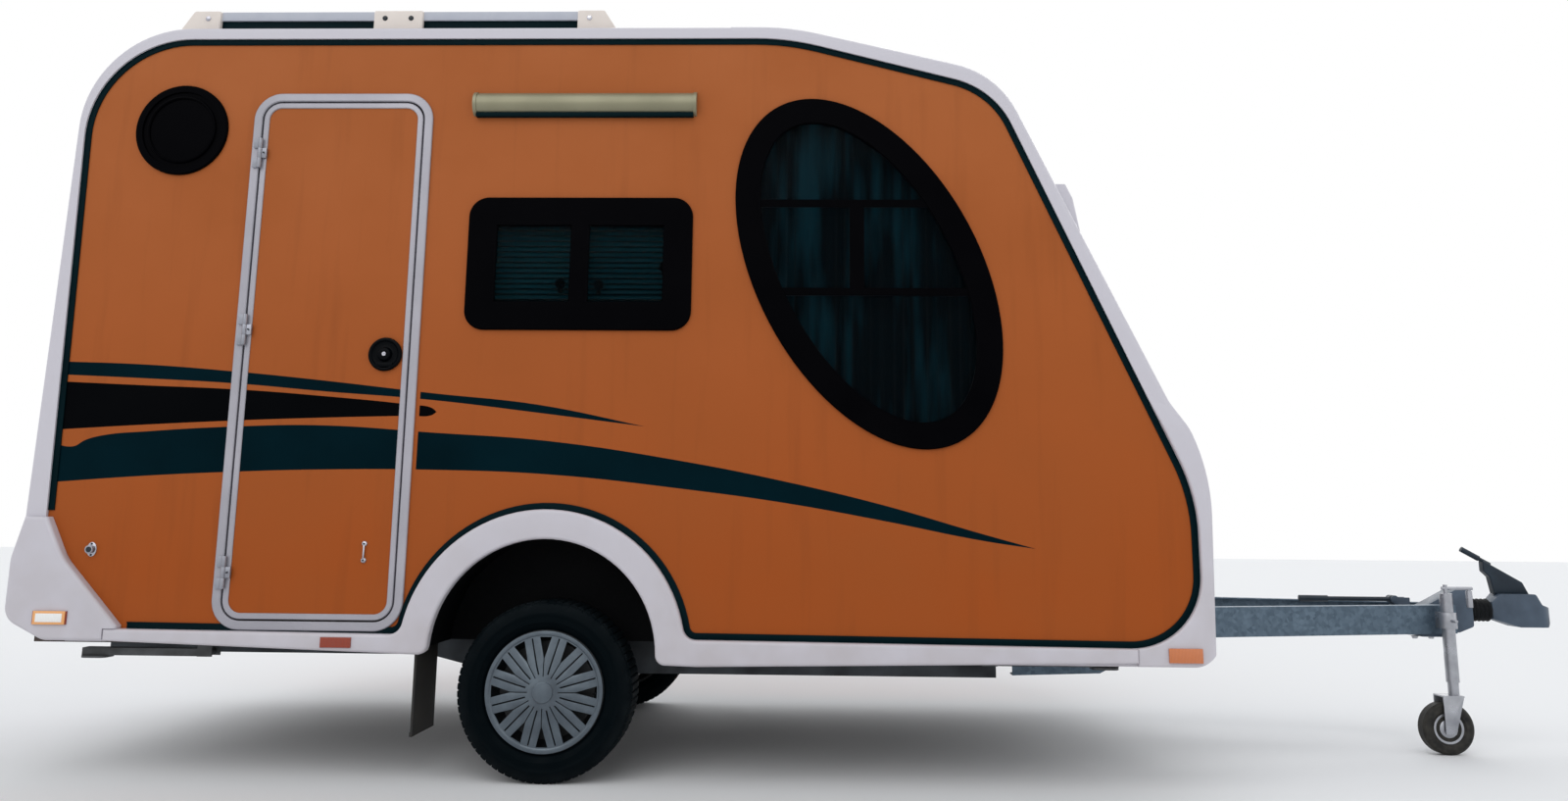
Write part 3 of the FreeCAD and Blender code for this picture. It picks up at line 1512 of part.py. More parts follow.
def make_steadies():
    places = (("front_right", steady_front_x, 1, -1), ("front_left", steady_front_x, 1, 1),
              ("rear_right", steady_rear_x, -1, -1), ("rear_left", steady_rear_x, -1, 1))
    half = steady_width / 2
    outer = half + moving_gap + bracket_plate
    brackets = []
    for name, x, ahead, side in places:
        y = side * steady_y
        pivot = Vector(x, y, steady_pivot_height)
        plate = box((x - bracket_length / 2, x + bracket_length / 2), (y - outer, y + outer),
                    (floor_under - bracket_plate, floor_under))
        ears = [box((x - steady_depth, x + steady_depth), (y + ear * outer, y + ear * (outer - bracket_plate)),
                    (steady_pivot_height - steady_depth / 2, floor_under)) for ear in (-1, 1)]
        pin = rod(pivot + Vector(0, -outer, 0), pivot + Vector(0, outer, 0), steady_pin_radius)
        brackets.append(plate.fuse(ears + [pin]).removeSplitter())
        save("steady_leg_" + name, steady_leg(pivot, ahead))
    save("steady_brackets", *brackets)


def steady_leg(pivot, ahead):
    """Folded channel with a round end at its pivot and a foot plate at its tip."""
    half = steady_width / 2
    deep = steady_depth / 2
    reach = ahead * steady_length
    low = pivot.z - deep
    leg = box((pivot.x, pivot.x + reach), (pivot.y - half, pivot.y + half), (low, pivot.z + deep))
    end = rod(pivot + Vector(0, -half, 0), pivot + Vector(0, half, 0), deep)
    hollow = box((pivot.x + ahead * steady_depth, pivot.x + reach - ahead * steady_sheet),
                 (pivot.y - half + steady_sheet, pivot.y + half - steady_sheet),
                 (low + steady_sheet, pivot.z + steady_depth))
    bore = rod(pivot + Vector(0, -steady_width, 0), pivot + Vector(0, steady_width, 0),
               steady_pin_radius + running_clearance)
    pad = box((0, steady_foot_length), (pivot.y - steady_foot_width / 2, pivot.y + steady_foot_width / 2),
              (low - steady_foot_sheet, low))
    pad = rounded(pad, steady_foot_round, lambda edge: edge.BoundBox.ZLength > steady_foot_sheet / 2)
    pad.translate(Vector(pivot.x + reach - (steady_foot_length if ahead > 0 else 0), 0, 0))
    return leg.fuse([end, pad]).cut([hollow, bore]).removeSplitter()


def make_door():
    outline = face(door_frame_outline())
    inner = grown(outline, -door_frame_band)
    frame_face_y = side_face_y - door_frame_proud
    band = bevelled(ring(outline, inner, (side_face_y, frame_face_y)), door_frame_bevel, outer_edges_at(frame_face_y))
    jamb = ring(grown(inner, door_jamb - fit_gap), inner, (side_face_y, inner_face_y))
    save("door_frame", band.fuse(jamb).removeSplitter())

    leaf_outline = grown(inner, -moving_gap)
    panel_outline = grown(leaf_outline, -door_edging_band)
    edge_start = side_face_y - door_edging_proud
    edging = ring(leaf_outline, panel_outline, (edge_start, edge_start + door_edging_depth))
    save("door_edging", bevelled(edging, door_edging_bevel, outer_edges_at(edge_start)))
    panel_start = side_face_y - door_panel_proud
    panel = prism(grown(panel_outline, -fit_gap), (panel_start, panel_start + door_panel_depth))
    save("door_panel", panel)


def make_hinges():
    third = hinge_length / 3
    fixed_length = third - fit_gap * 2
    fixed, moving = [], []
    for share in hinge_height_shares:
        low = door_frame_foot + (door_frame_top - door_frame_foot) * share - hinge_length / 2
        ends = (low, low + hinge_length - fixed_length)
        axis_foot = Vector(hinge_x, hinge_y, low)
        pin = Part.makeCylinder(hinge_pin_radius, hinge_length, axis_foot)
        knuckles = [Part.makeCylinder(hinge_radius, fixed_length, Vector(hinge_x, hinge_y, z)) for z in ends]
        leaves = [box((hinge_x - hinge_leaf_reach, hinge_x), (hinge_y, side_face_y - door_frame_proud),
                      (z, z + fixed_length)) for z in ends]
        fixed.append(pin.fuse(knuckles + leaves).removeSplitter())
        knuckle = Part.makeCylinder(hinge_radius, third, Vector(hinge_x, hinge_y, low + third))
        leaf = box((hinge_x, hinge_x + hinge_leaf_reach), (hinge_y, side_face_y - door_edging_proud),
                   (low + third, low + third * 2))
        bore = Part.makeCylinder(hinge_pin_radius + running_clearance, hinge_length, axis_foot)
        moving.append(knuckle.fuse(leaf).cut(bore).removeSplitter())
    keeper = turned([
        (0, 0),
        (0, keeper_neck_radius),
        (-keeper_proud + keeper_head, keeper_neck_radius),
        (-keeper_proud + keeper_head, keeper_radius),
        (-keeper_proud, keeper_radius),
        (-keeper_proud, 0),
    ], Vector(door_frame_rear_x - keeper_setback, side_face_y, door_frame_foot + catch_rise))
    save("door_wall_fittings", keeper, *fixed)
    save("door_hinges", *moving)


def make_door_fittings():
    outward = Vector(0, -1, 0)
    face_y = side_face_y - door_panel_proud
    centre = Vector(door_frame_front_x - lock_inset, face_y, door_frame_foot + lock_rise)
    plate = Part.makeCylinder(lock_radius, lock_plate, centre, outward)
    rim = Part.makeTorus(lock_radius - lock_rim_radius, lock_rim_radius, centre + outward * lock_plate, outward)
    knob = Part.makeCylinder(lock_knob_radius, lock_knob_proud, centre, outward)
    lock = plate.fuse([rim, knob]).removeSplitter()
    catch_x = door_frame_front_x - catch_inset
    catch_height = door_frame_foot + catch_rise
    half = catch_length / 2
    catch = box((catch_x - catch_width / 2, catch_x + catch_width / 2), (face_y, face_y - catch_proud),
                (catch_height - half, catch_height + half))
    save("door_fittings", lock, rounded(catch, catch_round, upright_edge))


def rail_foot(rear, front, slope_rear, slope_front):
    """Cast foot that holds the rail, with a sloping end, seated on the roof's outline."""
    base = roof_height + rail_foot_base
    half = rail_foot_width / 2
    block = prism(face(Part.makePolygon([Vector(x, 0, z) for x, z in (
        (rear, roof_height - rail_foot_sink),
        (rear, base),
        (rear + slope_rear, rail_bar_top),
        (front - slope_front, rail_bar_top),
        (front, base),
        (front, roof_height - rail_foot_sink),
        (rear, roof_height - rail_foot_sink),
    )])), (-rail_bar_y - half, -rail_bar_y + half))
    block = bevelled(block, rail_foot_bevel, lambda edge: edge.BoundBox.ZMax > base + fit_gap)
    return block.cut(prism(face(body_outline), (-2 * rail_bar_y, 0)))


def make_roof_fittings():
    half = rail_bar_width / 2
    bar = box((rail_bar_rear_x + rail_foot_length / 2, rail_bar_front_x - rail_foot_length / 2),
              (-rail_bar_y - half, -rail_bar_y + half), (rail_bar_top - rail_bar_height, rail_bar_top - fit_gap))
    middle = (rail_bar_rear_x + rail_bar_front_x) / 2
    feet = [rail_foot(rail_bar_rear_x, rail_bar_rear_x + rail_foot_length, rail_foot_slope, 0),
            rail_foot(middle - rail_middle_length / 2, middle + rail_middle_length / 2, 0, 0),
            rail_foot(rail_bar_front_x - rail_foot_length, rail_bar_front_x, 0, rail_foot_slope)]
    rail = bar.fuse(feet).removeSplitter()
    save("roof_rails", rail, mirrored(rail))

    centre = -hatch_setback
    half = hatch_size / 2
    lid = prism(face(rounded_rectangle(centre - half, centre + half, -half, half, hatch_radius)), (0, hatch_height))
    lid.rotate(Vector(0, 0, 0), Vector(1, 0, 0), 90)
    lid.translate(Vector(0, 0, roof_height))
    save("roof_hatch", rounded(lid, hatch_curb, lambda edge: edge.BoundBox.ZMin > roof_height + hatch_height - fit_gap))


def lamp_section(x, length, proud):
    """Half-round length of the awning lamp, against the wall."""
    top = roof_height - lamp_drop + proud
    foot = top - lamp_tall - 2 * proud
    crest = Vector(x, side_face_y - lamp_proud - proud, (top + foot) / 2)
    ends = Vector(x, side_face_y, top), Vector(x, side_face_y, foot)
    outline = Part.Wire([Part.Arc(ends[0], crest, ends[1]).toShape(), Part.LineSegment(ends[1], ends[0]).toShape()])
    return face(outline).extrude(Vector(length, 0, 0))


def make_lamps():
    rear = window_rear_x - lamp_overhang
    front = window_front_x + lamp_overhang
    tube = lamp_section(rear, front - rear, 0)
    caps = [lamp_section(x, lamp_cap, lamp_cap_proud) for x in (rear, front - lamp_cap)]
    save("awning_lamp", tube.fuse(caps).removeSplitter())

    height = bumper_top + tail_lamp_gap + tail_lamp_tall / 2
    x = rear_foot_x + (height - outline_foot) * math.tan(rear_lean)
    lens = prism(face(rounded_rectangle(-tail_lamp_width / 2, tail_lamp_width / 2, -tail_lamp_tall / 2,
                                        tail_lamp_tall / 2, tail_lamp_radius)), (0, -tail_lamp_depth))
    lens = rounded(lens, tail_lamp_round, outer_edges_at(-tail_lamp_depth))
    y = body_half_width - tail_lamp_inset
    save("tail_lamps", *[on_plane(lens, Vector(x, side * y, height), Vector(0, -1, 0), rear_plane()[2])
                         for side in (-1, 1)])


def make_markers():
    sill_face_y = side_face_y - sill_proud
    nose_face_y = side_face_y - lip - nose_step
    side_x = arch_centre_x - arch_outer_radius - side_marker_setback
    share = (side_x - sill_rear_x) / (sill_middle_x - sill_rear_x)
    sill_foot = sill_rear_foot + (sill_middle_foot - sill_rear_foot) * share
    side_height = (sill_foot + seal_height(side_x)) / 2
    rear_place = (bumper_rear_x + rear_marker_run, bumper_foot + rear_marker_rise)
    front_place = (nose_x - front_marker_setback, nose_foot + front_marker_rise)
    markers = []
    for (x, height), length, tall, y in (
            ((side_x, side_height), side_marker_length, side_marker_tall, sill_face_y),
            (rear_place, rear_marker_length, rear_marker_tall, sill_face_y),
            (front_place, front_marker_length, front_marker_tall, nose_face_y)):
        lens = box((x - length / 2, x + length / 2), (y, y - marker_sheet), (height - tall / 2, height + tall / 2))
        markers.append(rounded(lens, marker_round, outer_edges_at(y - marker_sheet)))
    save("marker_lamps", *(markers + [mirrored(lens) for lens in markers]))


def make_flaps():
    x = arch_centre_x - arch_inner_radius - flap_setback
    flap = box((x - flap_sheet, x), (inner_face_y, inner_face_y + flap_width), (flap_ground_gap, floor_under))
    save("mud_flaps", flap, mirrored(flap))


make_sills()
make_seals()
make_shells()
make_walls()
make_side_windows()
make_oval_windows()
make_portholes()
make_end_windows()
make_blinds()
make_curtains()
make_bumper()
make_floor()
make_wheel_boxes()
make_chassis()
make_axle()
make_wheels()
make_coupling()
make_handbrake()
make_jockey()
make_jockey_clamp()
make_jockey_wheel()
make_steadies()
make_door()
make_hinges()
make_door_fittings()
make_roof_fittings()
make_lamps()
make_markers()
make_flaps()
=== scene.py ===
import bpy
import math
import random
from mathutils import Matrix, Vector
from mathutils.bvhtree import BVHTree


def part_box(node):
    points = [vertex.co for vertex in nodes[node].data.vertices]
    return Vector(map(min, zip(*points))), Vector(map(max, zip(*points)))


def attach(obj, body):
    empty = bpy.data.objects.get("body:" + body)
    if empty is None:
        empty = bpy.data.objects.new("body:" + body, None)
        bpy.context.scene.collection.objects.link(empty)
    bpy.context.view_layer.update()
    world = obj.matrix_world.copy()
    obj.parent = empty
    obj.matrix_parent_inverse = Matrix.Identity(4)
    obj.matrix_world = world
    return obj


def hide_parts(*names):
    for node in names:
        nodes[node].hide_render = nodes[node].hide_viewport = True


# Small single-axle caravan, dressed as a maker would finish it: moulded white edges round orange side walls,
# black framed windows with blinds and curtains, a galvanised chassis and drawbar, and spoked wheel covers.
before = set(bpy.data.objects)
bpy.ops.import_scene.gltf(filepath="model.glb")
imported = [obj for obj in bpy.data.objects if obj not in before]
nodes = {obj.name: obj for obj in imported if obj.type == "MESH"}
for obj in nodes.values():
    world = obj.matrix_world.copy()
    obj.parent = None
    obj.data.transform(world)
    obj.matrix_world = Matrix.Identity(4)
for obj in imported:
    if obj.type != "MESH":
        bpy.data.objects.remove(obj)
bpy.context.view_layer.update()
scene = bpy.context.scene
bpy.ops.object.select_all(action="DESELECT")

# Camera: a short lens at chest height beside the road, a little ahead of the axle. It is tilted up and turned
# slightly towards the rear.
tyre_low, tyre_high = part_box("tyre_right")
axle_x = (tyre_low.x + tyre_high.x) / 2
camera_ahead_of_axle = 0.9115
camera_out = 5.0503
camera_height = 0.8636
camera_pitch = math.radians(9.767)
camera_yaw = math.radians(1.556)
camera_roll = math.radians(0.524)
camera_data = bpy.data.cameras.new("roadside_camera")
camera_data.sensor_width = 36.0
camera_data.lens = 27.0
camera_data.shift_y = -0.05
camera_data.clip_end = 200.0
camera = bpy.data.objects.new("roadside_camera", camera_data)
camera.matrix_world = (Matrix.Translation((axle_x + camera_ahead_of_axle, -camera_out, camera_height))
                       @ Matrix.Rotation(camera_yaw, 4, "Z")
                       @ Matrix.Rotation(math.pi / 2 + camera_pitch, 4, "X")
                       @ Matrix.Rotation(camera_roll, 4, "Z"))
scene.collection.objects.link(camera)
scene.camera = camera

# Studio: a pale floor that keeps the trailer's shadow, a white surround that gloss and glass show too, and a
# broad lamp on each of the four sides.
scene.view_settings.view_transform = "Standard"
floor_reach = 60.0
lamp_breadth = math.radians(60)
bpy.ops.mesh.primitive_plane_add(size=floor_reach, location=(0, 0, 0))
floor = bpy.context.active_object
floor.name = "studio_floor"
floor_paint = bpy.data.materials.new("studio_floor_paint")
floor_paint.use_nodes = True
floor_shader = floor_paint.node_tree.nodes["Principled BSDF"]
floor_shader.inputs["Base Color"].default_value = (0.88, 0.88, 0.89, 1)
floor_shader.inputs["Roughness"].default_value = 0.9
floor_shader.inputs["Specular IOR Level"].default_value = 0.1
floor.data.materials.append(floor_paint)

surround = bpy.data.worlds.new("studio_surround")
surround.use_nodes = True
scene.world = surround
sky_nodes = surround.node_tree.nodes
sky_links = surround.node_tree.links
sky_nodes.clear()
sky_out = sky_nodes.new("ShaderNodeOutputWorld")
lit_or_seen = sky_nodes.new("ShaderNodeMixShader")
for socket, colour, strength in ((1, (0.93, 0.97, 1.0, 1), 0.50), (2, (1, 1, 1, 1), 1.0)):
    sky = sky_nodes.new("ShaderNodeBackground")
    sky.inputs["Color"].default_value = colour
    sky.inputs["Strength"].default_value = strength
    sky_links.new(sky.outputs["Background"], lit_or_seen.inputs[socket])
rays = sky_nodes.new("ShaderNodeLightPath")
seen = rays.outputs["Is Camera Ray"]
for ray in ("Is Glossy Ray", "Is Transmission Ray"):
    either = sky_nodes.new("ShaderNodeMath")
    either.operation = "ADD"
    either.use_clamp = True
    sky_links.new(seen, either.inputs[0])
    sky_links.new(rays.outputs[ray], either.inputs[1])
    seen = either.outputs["Value"]
sky_links.new(seen, lit_or_seen.inputs["Fac"])
sky_links.new(lit_or_seen.outputs["Shader"], sky_out.inputs["Surface"])


def studio_lamp(name, turn, tilt, strength):
    """Broad far lamp whose light comes from the given turn round the trailer and height above the floor."""
    data = bpy.data.lights.new(name, "SUN")
    data.energy = strength
    data.angle = lamp_breadth
    light = bpy.data.objects.new(name, data)
    light.rotation_euler = (math.radians(90 - tilt), 0, math.radians(turn))
    scene.collection.objects.link(light)


studio_lamp("door_side_lamp", -18, 42, 0.95)
studio_lamp("blind_side_lamp", 165, 42, 0.80)
studio_lamp("front_lamp", 75, 30, 0.35)
studio_lamp("rear_lamp", -105, 30, 0.35)

# Chassis and drawbar: folded steel channels and square tubes, welded and then dipped in zinc, which leaves
# a blue-grey skin with faint flower-like spangles. The drawbar arms are bolted to the coupling at their tips.


def paint_of(red, green, blue):
    """Colour from its red, green and blue, each from 0 to 255, in the shader's own linear light."""
    return tuple(((part / 255 + 0.055) / 1.055) ** 2.4 if part > 10 else part / 255 / 12.92
                 for part in (red, green, blue)) + (1.0,)


class Finish:
    """Material in the making, with the tools that give it its texture. Its colours go from 0 to 255."""

    def __init__(self, name, colour, roughness, metallic=0.0, coat=0.0, gloss=0.5):
        self.material = bpy.data.materials.new(name)
        self.material.use_nodes = True
        self.material.diffuse_color = paint_of(*colour)
        self.nodes = self.material.node_tree.nodes
        self.shader = self.nodes["Principled BSDF"]
        for socket, value in (("Base Color", paint_of(*colour)), ("Roughness", roughness),
                              ("Metallic", metallic), ("Specular IOR Level", gloss), ("Coat Weight", coat),
                              ("Coat Roughness", 0.08)):
            self.shader.inputs[socket].default_value = value
        self.place = self.nodes.new("ShaderNodeTexCoord").outputs["Object"]

    def link(self, source, socket):
        """Wire from an output to an input."""
        self.material.node_tree.links.new(source, socket)

    def feed(self, socket, source):
        """Lets an output set one of the shader's own sockets."""
        self.link(source, self.shader.inputs[socket])

    def along(self, axis):
        """Place on one of the trailer's axes, in metres."""
        split = self.nodes.new("ShaderNodeSeparateXYZ")
        self.link(self.place, split.inputs["Vector"])
        return split.outputs[axis]

    def pattern(self, kind, scale):
        """Texture node of the given kind, laid on the trailer's axes."""
        texture = self.nodes.new(kind)
        texture.inputs["Scale"].default_value = scale
        self.link(self.place, texture.inputs["Vector"])
        return texture

    def cloud(self, size, detail=4.0, stretch=(1, 1, 1)):
        """Soft noise whose clouds are about the given size in metres, longer where the stretch is more."""
        spread = self.nodes.new("ShaderNodeMapping")
        spread.inputs["Scale"].default_value = [1 / (size * part) for part in stretch]
        noise = self.nodes.new("ShaderNodeTexNoise")
        noise.inputs["Scale"].default_value = 1.0
        noise.inputs["Detail"].default_value = detail
        self.link(self.place, spread.inputs["Vector"])
        self.link(spread.outputs["Vector"], noise.inputs["Vector"])
        return noise.outputs["Fac"]

    def reckoned(self, operation, first, second=0.0):
        """Result of a sum on outputs or numbers."""
        step = self.nodes.new("ShaderNodeMath")
        step.operation = operation
        for socket, value in zip(step.inputs, (first, second)):
            if isinstance(value, float):
                socket.default_value = value
            else:
                self.link(value, socket)
        return step.outputs["Value"]

    def between(self, share, low, high, start=0.3, stop=0.7):
        """Number that goes from low to high while the share goes from start to stop."""
        span = self.nodes.new("ShaderNodeMapRange")
        for socket, value in (("From Min", start), ("From Max", stop), ("To Min", low), ("To Max", high)):
            span.inputs[socket].default_value = value
        self.link(share, span.inputs["Value"])
        return span.outputs["Result"]

    def blended(self, share, first, second):
        """Colour between two others, each of which is a colour or another node's output."""
        mix = self.nodes.new("ShaderNodeMix")
        mix.data_type = "RGBA"
        self.link(share, mix.inputs["Factor"])
        for socket, colour in ((mix.inputs[6], first), (mix.inputs[7], second)):
            if isinstance(colour, tuple):
                socket.default_value = paint_of(*colour)
            else:
                self.link(colour, socket)
        return mix.outputs[2]

    def relief(self, height, depth):
        """Bump of the given depth in metres."""
        bump = self.nodes.new("ShaderNodeBump")
        bump.inputs["Distance"].default_value = depth
        bump.inputs["Strength"].default_value = 1.0
        self.link(height, bump.inputs["Height"])
        self.feed("Normal", bump.outputs["Normal"])


def wear(name, colour, worn, roughness, spread, clouds=0.22, grain=0.003, depth=0.0002, **shine):
    """Painted or moulded surface: slow changes from the first colour to the worn one, and a fine grain."""
    finish = Finish(name, colour, roughness, **shine)
    slow = finish.cloud(clouds)
    finish.feed("Base Color", finish.blended(finish.between(slow, 0, 1), colour, worn))
    finish.feed("Roughness", finish.between(slow, roughness - spread, roughness + spread))
    finish.relief(finish.cloud(grain, 2.0), depth)
    return finish.material


def painted(finish, *shown):
    """Gives CAD pieces that are shown as they are their finish."""
    for node in shown:
        for number in range(len(nodes[node].material_slots)):
            nodes[node].material_slots[number].material = finish


def zinc_coat():
    """Hot dip galvanising: crystals of slightly different greys, and dull patches."""
    finish = Finish("zinc_coat", (88, 104, 118), 0.45, metallic=0.6)
    spangles_per_metre = 70.0
    tint = finish.nodes.new("ShaderNodeSeparateColor")
    spangle = finish.pattern("ShaderNodeTexVoronoi", spangles_per_metre)
    finish.link(spangle.outputs["Color"], tint.inputs["Color"])
    flower = finish.blended(tint.outputs["Red"], (72, 88, 102), (98, 115, 130))
    dull = finish.between(finish.cloud(0.15), 0, 0.55)
    finish.feed("Base Color", finish.blended(dull, flower, (70, 86, 100)))
    finish.feed("Roughness", finish.between(tint.outputs["Green"], 0.36, 0.56, 0, 1))
    finish.relief(finish.cloud(0.012), 0.0006)
    return finish.material


painted(zinc_coat(), "drawbar_arms")
# Chassis rails and cross members: zinc painted dark grey in patches, as painted shade under the body.
zinc_painted_shade = wear("zinc_painted_shade", (66, 72, 78), (38, 41, 45), 0.5, 0.12, 0.15, metallic=0.4)
painted(zinc_painted_shade, "chassis_rails", "cross_members")


def dressed(piece, body, finish, edge, sharp, replaced):
    """Breaks a piece's edges, smooths it, gives it its finish and fixes it to its body."""
    if edge:
        broken = piece.modifiers.new("broken_edges", "BEVEL")
        broken.width = edge
        broken.segments = 2
        broken.limit_method = "ANGLE"
        broken.angle_limit = math.radians(sharp)
        bpy.ops.object.modifier_apply(modifier="broken_edges")
    bpy.ops.object.shade_smooth_by_angle(angle=math.radians(40))
    piece.data.materials.clear()
    piece.data.materials.append(finish)
    if replaced:
        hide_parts(*replaced)
    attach(piece, body)
    return piece


def fitted(parts, name, finish, edge=0.0, replaced=(), body="trailer"):
    """Joins the modelled parts into one piece and dresses it."""
    bpy.ops.object.select_all(action="DESELECT")
    for part in parts:
        part.select_set(True)
    bpy.context.view_layer.objects.active = parts[0]
    if len(parts) > 1:
        bpy.ops.object.join()
    piece = bpy.context.active_object
    piece.name = name
    bpy.ops.object.transform_apply(location=True, rotation=True, scale=True)
    dressed(piece, body, finish, edge, 30, replaced)


def peg(start, end, radius, sides=24, tip_radius=None):
    """Round or many-sided bar from one point to another, the start of a pin, bolt or button."""
    start, end = Vector(start), Vector(end)
    tip = radius if tip_radius is None else tip_radius
    turn = (end - start).to_track_quat("Z", "Y").to_euler()
    bpy.ops.mesh.primitive_cone_add(vertices=sides, radius1=radius, radius2=tip, depth=(end - start).length,
                                    location=(start + end) / 2, rotation=turn)
    return bpy.context.active_object


bolt_across = 0.019
bolt_edge = 0.0006


def bolt(place, out):
    """Hexagon bolt head on its washer, standing off a face in the given direction."""
    place, out = Vector(place), Vector(out).normalized()
    washer = peg(place - out * 0.001, place + out * bolt_across * 0.12, bolt_across * 0.72)
    head = peg(place, place + out * bolt_across * 0.5, bolt_across * 0.577, 6, bolt_across * 0.53)
    return [washer, head]


bright_zinc = wear("bright_zinc", (186, 188, 192), (160, 162, 168), 0.30, 0.08, metallic=0.9)
rail_low, rail_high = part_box("chassis_rails")
beam_low, beam_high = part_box("axle_beam")
axle_bolts = []
for side in (-1, 1):
    for run in (-0.03, 0.03):
        for height in (0.035, 0.085):
            spot = ((beam_low.x + beam_high.x) / 2 + run, side * rail_high.y, rail_low.z + height)
            axle_bolts += bolt(spot, (0, side, 0))
fitted(axle_bolts, "axle_bolts", bright_zinc, bolt_edge)

# Axle: a hexagon steel tube that holds the rubber springs, with a trailing arm, brake backing plate and
# spindle at each end. It is painted black, and road dust greys it.
axle_paint = wear("axle_paint", (12, 13, 15), (36, 35, 34), 0.5, 0.12, 0.12, gloss=0.15)
painted(axle_paint, "axle_beam", "trailing_arms")

# Floor: a sandwich board under a brown waterproof film, covered inside with plank-patterned vinyl.
# It lies on the chassis, and its front end is cranked up behind the nose.
floor_thickness = 0.035
plank_length = 0.92
plank_width = 0.15
plank_joint = 0.0012


def floor_film():
    """Brown film below and on the edges, and planks of vinyl on the top face inside."""
    finish = Finish("floor_film", (52, 38, 30), 0.55)
    grain = finish.cloud(0.02, 6.0, (9, 1, 1))
    plank = finish.pattern("ShaderNodeTexBrick", 1.0)
    for socket, value in (("Brick Width", plank_length), ("Row Height", plank_width),
                          ("Mortar Size", plank_joint), ("Color1", paint_of(150, 118, 84)),
                          ("Color2", paint_of(128, 98, 68)), ("Mortar", paint_of(50, 36, 24))):
        plank.inputs[socket].default_value = value
    wood = finish.blended(finish.between(grain, 0, 0.5), plank.outputs["Color"], (96, 70, 46))
    vinyl_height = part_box("floor_panel")[0].z + floor_thickness
    above = finish.between(finish.along("Z"), 0, 1, vinyl_height, vinyl_height + 0.0004)
    lean = finish.nodes.new("ShaderNodeSeparateXYZ")
    finish.link(finish.nodes.new("ShaderNodeTexCoord").outputs["Normal"], lean.inputs["Vector"])
    on_top = finish.reckoned("MULTIPLY", above, finish.between(lean.outputs["Z"], 0, 1, 0.3, 0.5))
    film = finish.blended(grain, (46, 33, 26), (60, 46, 37))
    finish.feed("Base Color", finish.blended(on_top, film, wood))
    finish.relief(grain, 0.0003)
    return finish.material


painted(floor_film(), "floor_panel")

# Wheel boxes and mud flaps: black plastic shrouds moulded with a leather-like grain and glued into the floor,
# and black rubber flaps bolted behind the wheels.


def beam(low, high):
    """Square block between two corners, the start of a strip, plate or bracket."""
    middle = (Vector(low) + Vector(high)) / 2
    bpy.ops.mesh.primitive_cube_add(size=1, location=middle, scale=Vector(high) - Vector(low))
    return bpy.context.active_object


shroud_plastic = wear("shroud_plastic", (4, 5, 7), (10, 11, 13), 0.6, 0.08, 0.2, 0.004, 0.0012, gloss=0.06)
painted(shroud_plastic, "wheel_boxes")
both_sides = ((-1, "right"), (1, "left"))
flap_low, flap_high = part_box("mud_flaps")
flap_rubber = wear("flap_rubber", (17, 18, 19), (48, 45, 41), 0.7, 0.08, 0.1)
flap_width = 0.23
flap_ribs = 10
flap_rib_pitch = 0.019
flap_rib_half = 0.003
rib_back, rib_root = flap_low.x - 0.003, flap_low.x + 0.002
for side, side_name in both_sides:
    middle = side * (flap_high.y - flap_width / 2)
    start, stop = middle - flap_width / 2, middle + flap_width / 2
    flap = [beam((flap_low.x, start, flap_low.z), (flap_high.x, stop, flap_high.z))]
    for number in range(flap_ribs):
        across = middle + (number - (flap_ribs - 1) / 2) * flap_rib_pitch
        flap.append(beam((rib_back, across - flap_rib_half, flap_low.z + 0.02),
                         (rib_root, across + flap_rib_half, flap_low.z + 0.15)))
    flap.append(beam((rib_back, start, flap_low.z), (rib_root, stop, flap_low.z + 0.014)))
    fitted(flap, "mud_flap_" + side_name, flap_rubber, 0.0012, ("mud_flaps",))

# Road wheels: black tyres with sidewall ribs and a blocked tread, dusty at the shoulder, on dark steel rims,
# behind moulded covers whose spokes run in pairs from a blue-ringed boss. The covers are lacquered grey.
tyre_centre_height = (tyre_low.z + tyre_high.z) / 2
tyre_reach = tyre_centre_height
tyre_middle_y = (tyre_low.y + tyre_high.y) / 2
tread_depth = 0.0075
tread_half = 0.071
tread_pitches = 72
tread_ribs = 5
block_floor = tyre_reach - tread_depth
bead_reach = tyre_reach - 0.097
side_profile = [(0.075, bead_reach), (0.079, bead_reach + 0.006), (0.0855, bead_reach + 0.011),
                (0.0895, bead_reach + 0.024), (0.0915, bead_reach + 0.026), (0.0922, bead_reach + 0.040),
                (0.0916, bead_reach + 0.050), (0.0928, bead_reach + 0.052), (0.0922, bead_reach + 0.060),
                (0.0908, bead_reach + 0.062), (0.0872, bead_reach + 0.072), (0.0800, bead_reach + 0.081)]
tread_profile = [(-tread_half + 2 * tread_half * number / tread_ribs, block_floor)
                 for number in range(tread_ribs + 1)]
inner_profile = [(0.068, bead_reach + 0.004), (0.084, tyre_reach - 0.045), (0.060, tyre_reach - 0.016)]


def tyre_rubber():
    """Black rubber, greyed by road dust on the tread and just inside the shoulder."""
    finish = Finish("tyre_rubber", (2, 7, 11), 0.62, gloss=0.04)
    from_axle = finish.nodes.new("ShaderNodeMapping")
    from_axle.inputs["Location"].default_value = (-axle_x, 0, -tyre_centre_height)
    from_axle.inputs["Scale"].default_value = (1, 0, 1)
    distance = finish.nodes.new("ShaderNodeVectorMath")
    distance.operation = "LENGTH"
    finish.link(finish.place, from_axle.inputs["Vector"])
    finish.link(from_axle.outputs["Vector"], distance.inputs[0])
    outward = finish.between(distance.outputs["Value"], 0, 1, tyre_reach - 0.05, tyre_reach - 0.012)
    dust = finish.cloud(0.06, 6.0)
    greyed = finish.reckoned("MULTIPLY", outward, finish.between(dust, 0.1, 0.85))
    finish.feed("Base Color", finish.blended(greyed, (1, 7, 11), (22, 27, 30)))
    finish.feed("Roughness", finish.between(dust, 0.5, 0.75))
    finish.relief(finish.cloud(0.004, 3.0), 0.0004)
    return finish.material


